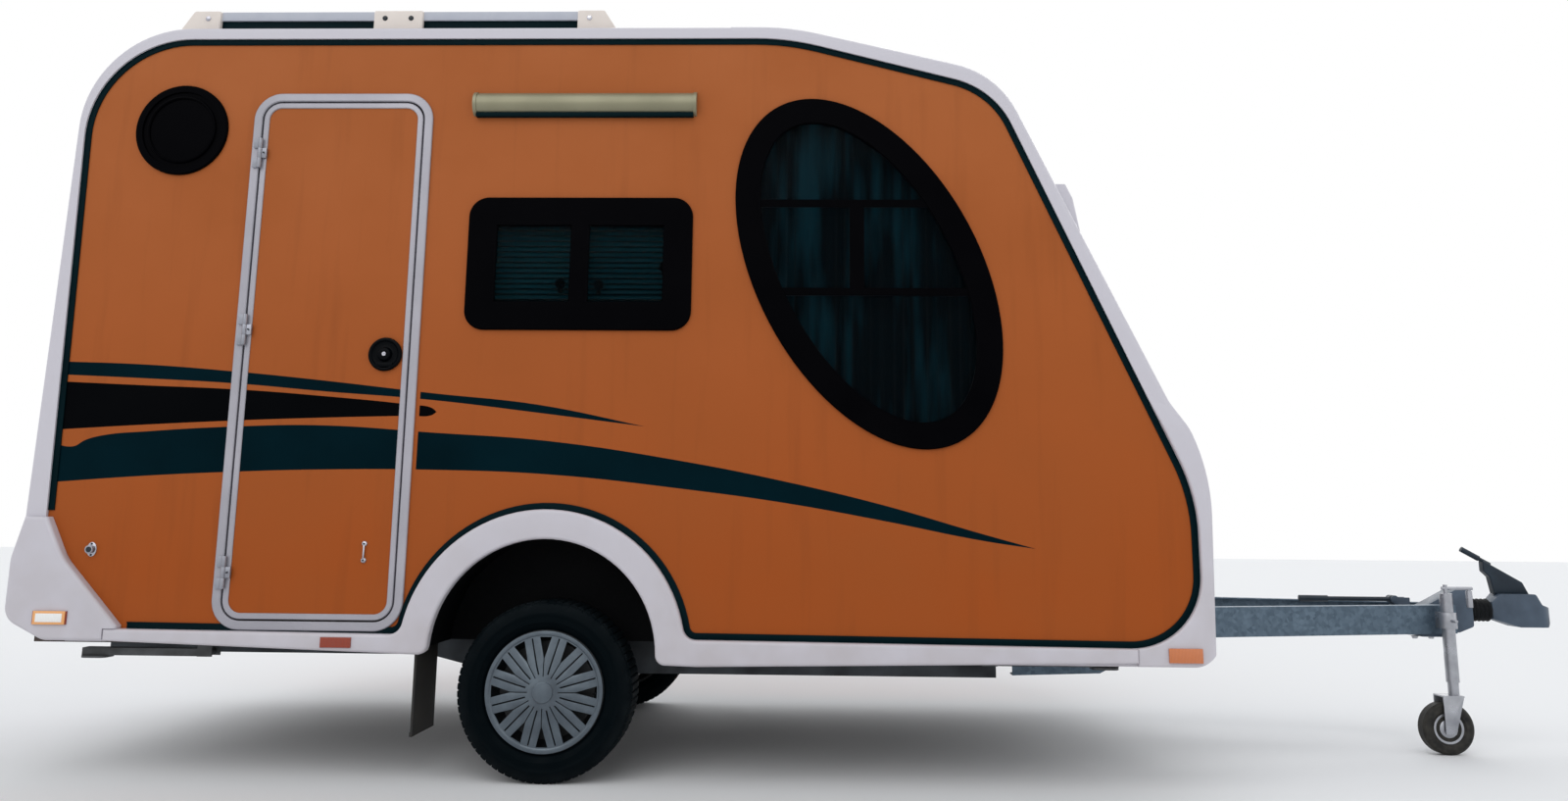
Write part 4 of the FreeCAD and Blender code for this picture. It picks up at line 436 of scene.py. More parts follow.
def turned(profile, centre, out, steps=24, first_way=None):
    """Ring spun round an axis from its closed section's points: distance outwards, distance from the axis."""
    out = Vector(out).normalized()
    aside = Vector(first_way) if first_way else out.orthogonal().normalized()
    bpy.ops.mesh.primitive_circle_add(vertices=len(profile), radius=1, location=(0, 0, 0))
    piece = bpy.context.active_object
    for vertex, (along, reach) in zip(piece.data.vertices, profile):
        vertex.co = Vector(centre) + out * along + aside * reach
    bpy.ops.object.mode_set(mode="EDIT")
    bpy.ops.mesh.select_all(action="SELECT")
    bpy.ops.mesh.spin(steps=steps, angle=2 * math.pi, center=centre, axis=out)
    bpy.ops.mesh.select_all(action="SELECT")
    bpy.ops.mesh.remove_doubles(threshold=0.00005)
    bpy.ops.mesh.normals_make_consistent(inside=False)
    bpy.ops.mesh.select_all(action="DESELECT")
    bpy.ops.object.mode_set(mode="OBJECT")
    return piece


def alone(piece):
    """Leaves one piece selected and active."""
    bpy.ops.object.select_all(action="DESELECT")
    piece.select_set(True)
    bpy.context.view_layer.objects.active = piece


def reach_of(point):
    """Distance from the wheel's axis."""
    return math.hypot(point.x - axle_x, point.z - tyre_centre_height)


def on_tread(point):
    """Whether a face's middle lies on the tread."""
    return reach_of(point) > block_floor - 0.001 and abs(point.y - tyre_middle_y) < tread_half


def on_shoulder(point):
    """Whether a face's middle lies on the row beside the tread."""
    return abs(abs(point.y - tyre_middle_y) - 0.0755) < 0.0035 and reach_of(point) > tyre_reach - 0.02


section = ([(-y, reach) for y, reach in side_profile] + tread_profile + side_profile[::-1]
           + inner_profile + [(-y, reach) for y, reach in inner_profile[::-1]])
tyre = turned(section, (axle_x, tyre_middle_y, tyre_centre_height), (0, 1, 0), tread_pitches, (0, 0, 1))
for chosen, groove, rise in ((on_tread, 0.0022, tread_depth - 0.002), (on_shoulder, 0.0035, 0.0022)):
    for face in tyre.data.polygons:
        face.select = chosen(face.center)
    bpy.ops.object.mode_set(mode="EDIT")
    bpy.ops.mesh.inset(thickness=groove, depth=rise, use_individual=True)
    bpy.ops.object.mode_set(mode="OBJECT")
other_tyre = tyre.copy()
other_tyre.data = tyre.data.copy()
scene.collection.objects.link(other_tyre)
for vertex in other_tyre.data.vertices:
    vertex.co.y = -vertex.co.y
alone(other_tyre)
bpy.ops.object.mode_set(mode="EDIT")
bpy.ops.mesh.select_all(action="SELECT")
bpy.ops.mesh.flip_normals()
bpy.ops.object.mode_set(mode="OBJECT")


def joined_copy(node, name, finish, edge=0.0, sharp=40, body="trailer"):
    """Copy of a CAD piece with its triangles joined into faces and its edges broken, shown in its place."""
    piece = bpy.data.objects.new(name, nodes[node].data.copy())
    scene.collection.objects.link(piece)
    alone(piece)
    bpy.ops.mesh.customdata_custom_splitnormals_clear()
    bpy.ops.object.mode_set(mode="EDIT")
    bpy.ops.mesh.select_all(action="SELECT")
    bpy.ops.mesh.remove_doubles(threshold=0.00002)
    bpy.ops.mesh.dissolve_limited(angle_limit=math.radians(1.0))
    bpy.ops.object.mode_set(mode="OBJECT")
    return dressed(piece, body, finish, edge, sharp, (node,))


def cover_lacquer():
    """Silver-grey lacquer on plastic, with patches of brake dust."""
    finish = Finish("cover_lacquer", (84, 95, 104), 0.36, metallic=0.3, coat=0.15, gloss=0.35)
    dust = finish.between(finish.cloud(0.05, 5.0), 0, 0.8)
    finish.feed("Base Color", finish.blended(dust, (92, 103, 112), (70, 79, 88)))
    finish.feed("Roughness", finish.between(dust, 0.28, 0.46, 0, 1))
    return finish.material


def moved(point, x, y, z):
    """Point that lies so far from another along the three axes."""
    return point + Vector((x, y, z))


tyre_finish = tyre_rubber()
rim_paint = wear("rim_paint", (40, 44, 48), (26, 27, 28), 0.45, 0.1, metallic=0.4)
lacquer = cover_lacquer()
cap_blue = wear("cap_blue", (14, 52, 72), (10, 40, 58), 0.3, 0.05, coat=0.5)
boss_depth = 0.0165
valve_reach = 0.176
for (out, side_name), its_tyre in zip(both_sides, (tyre, other_tyre)):
    wheel = "wheel_" + side_name
    fitted([its_tyre], "tyre_dressed_" + side_name, tyre_finish, 0, ("tyre_" + side_name,),
           wheel)
    joined_copy("rim_" + side_name, "steel_rim_" + side_name, rim_paint, body=wheel)
    joined_copy("hubcap_" + side_name, "wheel_cover_" + side_name, lacquer, 0.0012, 25,
                wheel)
    cover_low, cover_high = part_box("hubcap_" + side_name)
    cover_face = cover_low.y if out < 0 else cover_high.y
    bpy.ops.mesh.primitive_torus_add(location=(axle_x, cover_face - out * boss_depth, tyre_centre_height),
                                     rotation=(math.pi / 2, 0, 0), major_radius=0.0285, minor_radius=0.0042,
                                     major_segments=40, minor_segments=10)
    fitted([bpy.context.active_object], "cover_ring_" + side_name, cap_blue, body=wheel)
    valve_foot = Vector((axle_x + valve_reach, cover_face - out * 0.012, tyre_centre_height))
    valve = [peg(valve_foot, moved(valve_foot, 0, out * 0.018, 0), 0.0042, 16, 0.0036),
             peg(moved(valve_foot, 0, out * 0.014, 0), moved(valve_foot, 0, out * 0.022, 0), 0.0046, 10)]
    fitted(valve, "tyre_valve_" + side_name, shroud_plastic, 0.0004, body=wheel)

# Side walls: sandwich boards faced with orange sheet outside and pale lining inside. Their outer faces are
# glossy but flat, with the faint waves of a big thin sheet, a little dirt run down from above, and painted
# light that makes them lighter towards the top.
wall_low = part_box("side_wall_right")[0]
wall_out = -wall_low.y


def orange_sheet():
    """Orange outside and lining inside, told apart by the distance from the middle of the trailer."""
    finish = Finish("orange_sheet", (164, 84, 34), 0.42, gloss=0.1)
    # Painted light: the orange goes from darker low down to lighter high up, as if lit from above.
    base = finish.blended(finish.between(finish.along("Z"), 0, 1, 0.7, 2.4), (164, 80, 30), (176, 100, 54))
    slow = finish.between(finish.cloud(0.45), 0, 0.5)
    base = finish.blended(slow, base, (158, 84, 38))
    runs = finish.between(finish.cloud(0.05, 5.0, (1, 1, 14)), 0, 0.22, 0.55, 0.8)
    base = finish.blended(runs, base, (118, 62, 30))
    aside = finish.reckoned("ABSOLUTE", finish.along("Y"))
    outside = finish.between(aside, 0, 1, wall_out - 0.007, wall_out - 0.0065)
    lining = finish.blended(finish.cloud(0.01), (206, 200, 188), (214, 209, 198))
    finish.feed("Base Color", finish.blended(outside, lining, base))
    finish.feed("Roughness", finish.between(slow, 0.36, 0.5, 0, 0.5))
    finish.relief(finish.cloud(0.5, 1.0), 0.0035)
    return finish.material


painted(orange_sheet(), "side_wall_right", "side_wall_left", "door_panel")

# Stripes: three films of coloured vinyl laid on each side wall and cut round the door frame. The narrow upper
# one and the wide lower one are dark teal, and the one between is black. The wide one has lost its rear top
# corner.
film_sheet = 0.0003
film_lift = 0.00002
film_gap = 0.014
door_frame_low, door_frame_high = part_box("door_frame")
door_low, door_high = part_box("door_panel")
narrow_top = [(-1.775, 1.412), (-1.457, 1.402), (-1.138, 1.379), (-0.821, 1.349), (-0.435, 1.307),
              (-0.053, 1.268), (0.320, 1.195)]
narrow_foot = [(-1.775, 1.366), (-1.452, 1.353), (-1.134, 1.337), (-0.818, 1.311), (-0.434, 1.283),
               (-0.052, 1.240), (0.320, 1.195)]
middle_top = [(-1.775, 1.341), (-1.449, 1.328), (-1.133, 1.316), (-0.817, 1.294), (-0.502, 1.265),
              (-0.430, 1.255), (-0.412, 1.241)]
middle_foot = [(-1.775, 1.169), (-1.435, 1.190), (-1.123, 1.206), (-0.811, 1.218), (-0.499, 1.227),
               (-0.430, 1.229), (-0.412, 1.241)]
wide_top = [(-1.765, 1.123), (-1.689, 1.112), (-1.650, 1.134), (-1.589, 1.151), (-1.433, 1.166),
            (-1.121, 1.185), (-0.809, 1.191), (-0.427, 1.169), (-0.013, 1.142), (0.467, 1.074),
            (0.806, 1.010), (1.142, 0.933), (1.474, 0.840), (1.661, 0.790)]
wide_foot = [(-1.765, 0.986), (-1.417, 1.012), (-1.107, 1.028), (-0.797, 1.038), (-0.419, 1.040),
             (-0.008, 1.027), (0.469, 0.980), (0.806, 0.937), (1.141, 0.880), (1.473, 0.817), (1.661, 0.790)]


def vinyl_film(name, top, foot, side, outer_y, start_x, stop_x, finish, body="trailer"):
    """Flat film between a top and a foot line, trimmed to a stretch of the wall."""
    shape = bpy.data.curves.new(name, "CURVE")
    shape.dimensions = "2D"
    shape.fill_mode = "BOTH"
    shape.extrude = film_sheet / 2
    shape.resolution_u = 8
    outline = shape.splines.new("BEZIER")
    corners = {0, len(top) - 1, len(top) + len(foot) - 2}
    points = top + foot[-2::-1]
    outline.bezier_points.add(len(points) - 1)
    outline.use_cyclic_u = True
    for number, (point, (x, z)) in enumerate(zip(outline.bezier_points, points)):
        point.co = (x + axle_x, z, 0)
        point.handle_left_type = point.handle_right_type = "VECTOR" if number in corners else "AUTO"
    film = bpy.data.objects.new(name, shape)
    scene.collection.objects.link(film)
    alone(film)
    film.rotation_euler = (math.pi / 2, 0, 0)
    film.location = (0, side * (outer_y + film_sheet / 2), 0)
    bpy.ops.object.convert(target="MESH")
    bpy.ops.object.transform_apply(location=True, rotation=True, scale=True)
    bpy.ops.object.mode_set(mode="EDIT")
    for x, way in ((start_x, -1), (stop_x, 1)):
        bpy.ops.mesh.select_all(action="SELECT")
        bpy.ops.mesh.bisect(plane_co=(x, 0, 0), plane_no=(way, 0, 0), clear_outer=True, use_fill=True)
    bpy.ops.mesh.select_all(action="SELECT")
    bpy.ops.mesh.remove_doubles(threshold=0.00001)
    bpy.ops.mesh.normals_make_consistent(inside=False)
    bpy.ops.object.mode_set(mode="OBJECT")
    fitted([bpy.context.active_object], name, finish, body=body)


teal_vinyl = wear("teal_vinyl", (0, 22, 29), (1, 28, 36), 0.36, 0.05, 0.3, depth=0.00005, gloss=0.02)
black_vinyl = wear("black_vinyl", (1, 2, 4), (3, 4, 6), 0.36, 0.05, 0.3, depth=0.00005, gloss=0.02)
edge_x = wall_low.x - 1
door_face = -door_low.y + film_lift
wall_face = wall_out + film_lift
for name, top, foot, vinyl in (("narrow_stripe", narrow_top, narrow_foot, teal_vinyl),
                               ("middle_stripe", middle_top, middle_foot, black_vinyl),
                               ("wide_stripe", wide_top, wide_foot, teal_vinyl)):
    vinyl_film(name + "_rear", top, foot, -1, wall_face, edge_x, door_frame_low.x, vinyl)
    vinyl_film(name + "_door", top, foot, -1, door_face, door_low.x, door_high.x, vinyl, "door")
    vinyl_film(name + "_ahead", top, foot, -1, wall_face, door_frame_high.x + film_gap, -edge_x, vinyl)
    vinyl_film(name + "_left", top, foot, 1, wall_face, edge_x, -edge_x, vinyl)

# Edge shells, sills and bumper: white moulded skins of glass fibre, glossy outside, that wrap over the edges
# of the side walls. They are bonded in place, and their long faces wave a little.


def gelcoat_skin():
    """Glossy gelcoat with faint waves, dulled by road dust low down."""
    white, dusty = (206, 203, 211), (188, 182, 184)
    finish = Finish("gelcoat", white, 0.3, gloss=0.3)
    low_down = finish.between(finish.along("Z"), 0.55, 0.0, 0.45, 1.1)
    patches = finish.between(finish.cloud(0.12, 2.0), 0.1, 1.0)
    finish.feed("Base Color", finish.blended(finish.reckoned("MULTIPLY", low_down, patches), white, dusty))
    finish.feed("Roughness", finish.between(patches, 0.27, 0.36, 0, 1))
    finish.relief(finish.cloud(0.45, 0.0), 0.003)
    return finish.material


gelcoat = gelcoat_skin()
for node, body_part in (("rear_wall", "rear_skin"), ("roof_panel", "roof_skin"),
                        ("front_shell", "front_skin"), ("front_window_hood", "window_hood"),
                        ("sills", "sill_mouldings")):
    joined_copy(node, body_part, gelcoat)
joined_copy("rear_bumper", "bumper_moulding", gelcoat, 0.010, 30)
front_mesh = nodes["front_shell"].data
front_surface = BVHTree.FromPolygons([vertex.co for vertex in front_mesh.vertices],
                                     [face.vertices for face in front_mesh.polygons])
nose = joined_copy("nose_moulding", "nose_skin", gelcoat)
nose_low, nose_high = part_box("nose_moulding")
swelling = 0.15
swelling_steps = 9
thinnest_share = 0.05
bpy.ops.object.mode_set(mode="EDIT")
for number in range(1, swelling_steps):
    bpy.ops.mesh.select_all(action="SELECT")
    bpy.ops.mesh.bisect(plane_co=(0, 0, nose_high.z - swelling * number / swelling_steps), plane_no=(0, 0, 1))
bpy.ops.mesh.select_all(action="DESELECT")
bpy.ops.object.mode_set(mode="OBJECT")
for vertex in nose.data.vertices:
    share = (nose_high.z - vertex.co.z) / swelling
    if share < 1:
        seat = front_surface.find_nearest(vertex.co)[0]
        vertex.co = seat + (vertex.co - seat) * max(share * share * (3 - 2 * share), thinnest_share)
bpy.ops.object.shade_smooth_by_angle(angle=math.radians(40))
hatch_white = wear("hatch_white", (214, 213, 214), (198, 196, 192), 0.34, 0.05, 0.2, gloss=0.4)
joined_copy("roof_hatch", "roof_hatch_lid", hatch_white)

# Edge seals: a soft profile of dark teal rubber, pressed into the joint between each side wall and the
# mouldings round it, where it keeps the water out.
seal_rubber = wear("seal_rubber", (0, 20, 25), (3, 26, 31), 0.5, 0.08, 0.15, gloss=0.04)
joined_copy("edge_seals", "edge_seal_profile", seal_rubber, 0.002, 50)

# Door: an extruded aluminium frame screwed into the wall, and a panel framed in the same metal. It turns on
# three hinges at its rear edge, each held by a dark screw.
door_metal = wear("door_metal", (172, 170, 178), (156, 155, 163), 0.4, 0.07, 0.3, 0.002, 0.0001,
                  metallic=0.25, gloss=0.4)
joined_copy("door_frame", "door_frame_profile", door_metal)
joined_copy("door_edging", "door_leaf_profile", door_metal, body="door")
hinge_metal = wear("hinge_metal", (160, 162, 172), (140, 142, 150), 0.35, 0.08, 0.1, metallic=0.5)
joined_copy("door_wall_fittings", "hinge_wall_halves", hinge_metal, 0.0008)
joined_copy("door_hinges", "hinge_door_halves", hinge_metal, 0.0008, body="door")
screw_dark = wear("screw_dark", (24, 30, 36), (40, 46, 52), 0.4, 0.1, 0.05, gloss=0.3)
chrome = wear("chrome", (196, 196, 204), (160, 160, 170), 0.22, 0.08, 0.04, metallic=0.8)
pin_low, pin_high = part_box("door_hinges")
door_height = door_frame_high.z - door_frame_low.z
hinge_shares = (0.10, 0.54, 0.88)
hinge_screws = []
for share in hinge_shares:
    spot = Vector((pin_high.x - 0.008, pin_low.y, door_frame_low.z + door_height * share))
    hinge_screws.append(peg(moved(spot, 0, 0.003, 0), moved(spot, 0, -0.0012, 0), 0.0034, 14, 0.0026))
fitted(hinge_screws, "hinge_screws", screw_dark, body="door")

# Door lock and hook: a round black recessed lock with a turned rim and a bright key plug, and below it a
# small bright hook that holds the opened door on the keeper behind the door frame.
fitting_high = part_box("door_fittings")[1]
lock_radius = 0.060
lock_centre = Vector((fitting_high.x - lock_radius, door_low.y, fitting_high.z - lock_radius))
lock_black = wear("lock_black", (1, 3, 6), (4, 6, 9), 0.3, 0.08, 0.05, gloss=0.05)
outwards = (0, -1, 0)
lock_profile = [(-0.001, 0.058), (0.007, 0.060), (0.011, 0.058), (0.013, 0.053), (0.012, 0.049),
                (0.007, 0.045), (0.006, 0.026), (0.014, 0.023), (0.019, 0.021), (0.020, 0.018), (0.018, 0.0),
                (-0.001, 0.0)]
lock_ring = turned(lock_profile, lock_centre, outwards, 64)
lock_pull = beam(moved(lock_centre, -0.030, -0.013, -0.045), moved(lock_centre, 0.030, -0.006, -0.030))
fitted([lock_ring, lock_pull], "door_lock", lock_black, 0.0012, ("door_fittings",), "door")
key_profile = [(0.016, 0.0075), (0.0205, 0.007), (0.021, 0.004), (0.0195, 0.0), (0.016, 0.0)]
key_boss = turned(key_profile, lock_centre, outwards)
key_slot = beam(moved(lock_centre, -0.001, -0.0215, -0.005), moved(lock_centre, 0.001, -0.0195, 0.005))
fitted([key_boss, key_slot], "key_plug", chrome, body="door")
hook_place = moved(lock_centre, -0.029, 0, -0.684)
hook_rise = 0.028
hook_parts = [turned([(0, 0.009), (0.003, 0.0095), (0.006, 0.007), (0.0075, 0.0), (0, 0.0)],
                     moved(hook_place, 0, 0, rise), outwards) for rise in (-hook_rise, hook_rise)]
hook_parts.append(peg(moved(hook_place, 0, -0.006, -0.024), moved(hook_place, 0, -0.006, 0.024), 0.0032, 12))
fitted(hook_parts, "hold_open_hook", chrome, 0.0005, ("door_fittings",), "door")
hook_screws = [peg(moved(hook_place, 0, -0.006, rise), moved(hook_place, 0, -0.0085, rise), 0.0034, 12)
               for rise in (-hook_rise, hook_rise)]
fitted(hook_screws, "hook_screws", screw_dark, body="door")
keeper_place = Vector((door_frame_low.x - 0.438, -wall_out, door_frame_low.z + 0.264))
keeper_narrow, keeper_tall = 0.86, 1.25
keeper_profile = [(0, 0.020), (0.003, 0.0195), (0.004, 0.017), (0.004, 0.0), (0, 0.0)]
keeper_plate = turned(keeper_profile, keeper_place, outwards, 32)
keeper_plate.scale = (keeper_narrow, 1, keeper_tall)
keeper_plate.location = (keeper_place.x * (1 - keeper_narrow), 0, keeper_place.z * (1 - keeper_tall))
fitted([keeper_plate], "keeper_plate", chrome)
eye_profile = [(0.0195, 0.010), (0.0215, 0.009), (0.0218, 0.0), (0.0195, 0.0)]
keeper_marks = [turned(eye_profile, keeper_place, outwards)]
for rise in (-0.019, 0.019):
    keeper_marks.append(peg(moved(keeper_place, 0, -0.003, rise), moved(keeper_place, 0, -0.0056, rise),
                            0.0036, 12))
fitted(keeper_marks, "keeper_eye_and_screws", screw_dark)

# Windows: black framed acrylic, dark enough that only the blinds and curtains close behind it show faintly.
# The frames are clamped through the walls, and three catches a side hold the panes shut from inside.
window_black = wear("window_black", (1, 1, 3), (3, 3, 5), 0.34, 0.06, 0.2, gloss=0.015)
for node, name in (("side_window_frames", "side_window_surrounds"),
                   ("oval_window_frames", "oval_window_surrounds"), ("portholes", "round_vents"),
                   ("end_window_frames", "end_window_surrounds")):
    joined_copy(node, name, window_black)


def smoked_acrylic():
    """Dark see-through acrylic with fine wiping marks in its shine."""
    finish = Finish("smoked_acrylic", (0, 4, 7), 0.05, gloss=0.03)
    finish.shader.inputs["Alpha"].default_value = 0.45
    wiped = finish.cloud(0.06, 6.0, (4, 1, 1))
    finish.feed("Roughness", finish.between(wiped, 0.02, 0.09))
    finish.feed("Base Color", finish.blended(wiped, (0, 4, 7), (1, 6, 9)))
    return finish.material


painted(smoked_acrylic(), "side_window_glass", "oval_window_glass", "end_window_glass")
porthole_low, porthole_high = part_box("portholes")
vent_middle = (porthole_low + porthole_high) / 2
rim_profile = [(0, 0.128), (0.007, 0.126), (0.008, 0.122), (0.004, 0.118), (0, 0.118)]
catch_profile = [(0, 0.019), (0.010, 0.017), (0.013, 0.012), (0.013, 0.0), (0, 0.0)]
catch_places = ((0.001, 1.703), (0.138, 1.699), (0.371, 1.764))
for side, side_name in both_sides:
    rim_centre = Vector((vent_middle.x, side * (wall_out + 0.006), vent_middle.z))
    rim = turned(rim_profile, rim_centre, (0, side, 0), 72)
    fitted([rim], "vent_rim_" + side_name, window_black)
    catches = []
    for x, height in catch_places:
        spot = Vector((axle_x + x, side * (wall_out - 0.008), height))
        catches.append(turned(catch_profile, spot, (0, -side, 0)))
        catches.append(beam(moved(spot, -0.008, -side * 0.006, -0.034), moved(spot, 0.008, -side * 0.012, 0)))
    fitted(catches, "window_catches_" + side_name, window_black, 0.0015)

# Blinds: thin crowned slats of lacquered metal on cords, let down and turned nearly shut behind the side
# windows and the two end windows. Each hangs from its head rail and is weighted by a foot rail.
slat_pitch = 0.0195
slat_width = 0.0185
slat_sheet = 0.0006
slat_crown = 0.0016
slat_lean = math.radians(58)
slat_end_gap = 0.002
first_slat_rise = 0.03
head_and_foot = 0.045
head_rail_tall = 0.022
foot_rail_tall = 0.014
cord_radius = 0.0008
cord_share = 0.32
cord_depth = 0.0082
slat_lacquer = wear("slat_lacquer", (22, 112, 128), (12, 92, 110), 0.35, 0.08, 0.3, gloss=0.08)


def slat_stack(length, tall):
    """Crowned slats turned nearly shut, stacked up the blind's own middle."""
    bpy.ops.mesh.primitive_grid_add(x_subdivisions=2, y_subdivisions=6, size=1, location=(0, 0, 0))
    slat = bpy.context.active_object
    for vertex in slat.data.vertices:
        across = vertex.co.y * slat_width
        crown = slat_crown * (1 - (2 * vertex.co.y) ** 2)
        depth = across * math.cos(slat_lean) - crown * math.sin(slat_lean)
        rise = across * math.sin(slat_lean) + crown * math.cos(slat_lean)
        vertex.co = Vector((vertex.co.x * (length - 2 * slat_end_gap), depth,
                            rise - tall / 2 + first_slat_rise))
    thick = slat.modifiers.new("slat_sheet", "SOLIDIFY")
    thick.thickness = slat_sheet
    bpy.ops.object.modifier_apply(modifier="slat_sheet")
    stack = slat.modifiers.new("slat_stack", "ARRAY")
    stack.count = int((tall - head_and_foot) / slat_pitch)
    stack.use_relative_offset = False
    stack.use_constant_offset = True
    stack.constant_offset_displace = (0, 0, slat_pitch)
    bpy.ops.object.modifier_apply(modifier="slat_stack")
    return slat


side_blind_out = 0.92
blind_corners = {"right": [], "left": [], "rear": [], "ahead": []}
for vertex in nodes["blinds"].data.vertices:
    if abs(vertex.co.y) > side_blind_out:
        blind_corners["left" if vertex.co.y > 0 else "right"].append(vertex.co.copy())
    else:
        blind_corners["rear" if vertex.co.x < axle_x else "ahead"].append(vertex.co.copy())
for place_name, corners in blind_corners.items():
    corners.sort(key=lambda corner: corner.z)
    half = len(corners) // 2
    foot = sum(corners[:half], Vector()) / half
    head = sum(corners[half:], Vector()) / half
    tall = (head - foot).length
    up = (head - foot).normalized()
    if place_name in ("right", "left"):
        long_way = Vector((1, 0, 0))
        length = max(corner.x for corner in corners) - min(corner.x for corner in corners)
    else:
        long_way = Vector((0, 1, 0))
        length = 2 * max(abs(corner.y - foot.y) for corner in corners)
    blind_parts = [slat_stack(length, tall),
                   beam((-length / 2, -0.007, -tall / 2), (length / 2, 0.007, -tall / 2 + foot_rail_tall)),
                   beam((-length / 2, -0.009, tall / 2 - head_rail_tall), (length / 2, 0.009, tall / 2))]
    for share in (-cord_share, cord_share):
        for depth in (-cord_depth, cord_depth):
            blind_parts.append(peg((share * length, depth, -tall / 2 + 0.01),
                                   (share * length, depth, tall / 2 - 0.02), cord_radius, 6))
    turn = Matrix((long_way, up.cross(long_way), up)).transposed().to_4x4()
    for part in blind_parts:
        part.matrix_world = Matrix.Translation((foot + head) / 2) @ turn @ part.matrix_world
    fitted(blind_parts, "blind_" + place_name, slat_lacquer, 0, ("blinds",))

# Curtains: teal cloth gathered in soft folds behind each oval window, hung from a thin metal rod that its top
# hem is drawn onto.
curtain_low, curtain_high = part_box("curtains")
curtain_inset = 0.005
tall = curtain_high.z - curtain_low.z
fold_deep = 0.0145
fold_count = 15
cloth_sheet = 0.0008
threads_per_metre = 260.0


def curtain_cloth():
    """Woven cloth with a soft sheen, cross threads, and painted light and shade in long upright streaks for
    its folds.
    """
    finish = Finish("curtain_cloth", (30, 100, 120), 0.85, gloss=0.03)
    finish.shader.inputs["Sheen Weight"].default_value = 0.15
    weft = finish.pattern("ShaderNodeTexWave", threads_per_metre)
    weft.bands_direction = "Z"
    # Painted light and shade: long upright streaks from dark to light teal stand for the folds' highlights
    # and shade.
    soft = finish.between(finish.cloud(0.085, 3.0, (1, 1, 7)), 0, 1, 0.45, 0.67)
    finish.feed("Base Color", finish.blended(soft, (0, 24, 36), (40, 122, 144)))
    finish.relief(weft.outputs["Fac"], 0.0003)
    return finish.material


def fold_at(share, waves):
    """How far the cloth stands out at a share of its width, as part of a full fold."""
    bend = sum(math.sin(share * 2 * math.pi * fold_count * rate / (1 + 0.13 * number) + start)
               for number, (rate, start) in enumerate(waves))
    return math.tanh(bend * 0.8)


woven = curtain_cloth()
for side, side_name in both_sides:
    bpy.ops.mesh.primitive_grid_add(x_subdivisions=220, y_subdivisions=24, size=1, location=(0, 0, 0))
    cloth = bpy.context.active_object
    span = curtain_high.x - curtain_low.x - 2 * curtain_inset
    centre_y = side * (curtain_high.y - 0.017)
    rng = random.Random(7 + side)
    waves = [(rng.uniform(0.8, 1.2), rng.uniform(0, 6.28)) for _ in range(5)]
    for vertex in cloth.data.vertices:
        share = vertex.co.x + 0.5
        drop = 0.5 - vertex.co.y
        swing = fold_at(share, waves) * fold_deep * (0.62 + 0.38 * drop)
        vertex.co = Vector((curtain_low.x + curtain_inset + span * share, centre_y + swing,
                            curtain_high.z - tall * drop))
    thick = cloth.modifiers.new("cloth_sheet", "SOLIDIFY")
    thick.thickness = cloth_sheet
    bpy.ops.object.modifier_apply(modifier="cloth_sheet")
    fitted([cloth], "curtain_" + side_name, woven, 0, ("curtains",))
painted(wear("rod_metal", (150, 152, 158), (120, 122, 128), 0.35, 0.1, 0.05, metallic=0.7), "window_rods")

# Overrun coupling: a pressed steel housing bolted across the drawbar's tips, a ribbed rubber bellows over the
# sliding tube, and a cast head with its handle. The steel parts are painted slate grey.
coupling_slate = wear("coupling_slate", (74, 88, 104), (58, 70, 84), 0.42, 0.1, 0.08, 0.003, 0.0006,
                      gloss=0.35)
handle_slate = wear("handle_slate", (34, 48, 60), (24, 34, 44), 0.42, 0.08, 0.08, gloss=0.3)
bellows_black = wear("bellows_black", (12, 15, 18), (30, 32, 34), 0.6, 0.06, 0.05, gloss=0.2)
joined_copy("coupling_housing", "coupling_casing", coupling_slate, 0.0015)
joined_copy("coupling_head", "ball_head", coupling_slate, 0.002)
joined_copy("coupling_handle", "release_handle", handle_slate, 0.0015)
joined_copy("coupling_bellows", "rubber_bellows", bellows_black)
housing_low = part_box("coupling_housing")[0]
coupling_bolts = []
for run in (0.055, 0.120):
    for aside in (-0.086, 0.086):
        coupling_bolts += bolt((housing_low.x + run, aside, housing_low.z), (0, 0, -1))
fitted(coupling_bolts, "coupling_bolts", bright_zinc, bolt_edge)

# Handbrake lever: a steel bar with a round grip, painted dark slate and pivoted between two ears of the
# coupling. It lies forward along the drawbar when the brake is off.
joined_copy("handbrake_lever", "handbrake_bar", handle_slate, 0.001, body="handbrake")

# Jockey wheel: a zinc plated outer tube clamped beside the right drawbar arm, with an inner tube that a crank
# raises, and a fork that swivels under it. The wheel is a solid black rubber ring on a pale steel rim.
plated = wear("plated_steel", (176, 178, 184), (146, 148, 154), 0.32, 0.1, 0.06, metallic=0.75)
joined_copy("jockey_tubes", "jockey_plated_tubes", plated)
joined_copy("jockey_clamp", "jockey_clamp_plates", plated, 0.001)
joined_copy("jockey_fork", "jockey_plated_fork", plated, 0.001, body="jockey_fork")
jockey_rubber = wear("jockey_rubber", (16, 17, 18), (58, 56, 52), 0.62, 0.08, 0.03, gloss=0.2)
joined_copy("jockey_wheel", "jockey_solid_tyre", jockey_rubber, body="jockey_wheel")
jockey_low, jockey_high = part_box("jockey_wheel")
jockey_half = abs(jockey_high.y - jockey_low.y) / 2
jockey_profile = [(jockey_half - inset, reach) for inset, reach in
                  ((0.010, 0.020), (0.002, 0.018), (0.003, 0.030), (0.009, 0.040), (0.004, 0.056),
                   (0.0045, 0.058), (0.011, 0.058), (0.012, 0.020))]
jockey_rims = [turned(jockey_profile, (jockey_low + jockey_high) / 2, (0, side, 0), 40) for side in (-1, 1)]
fitted(jockey_rims, "jockey_rim", plated, body="jockey_wheel")

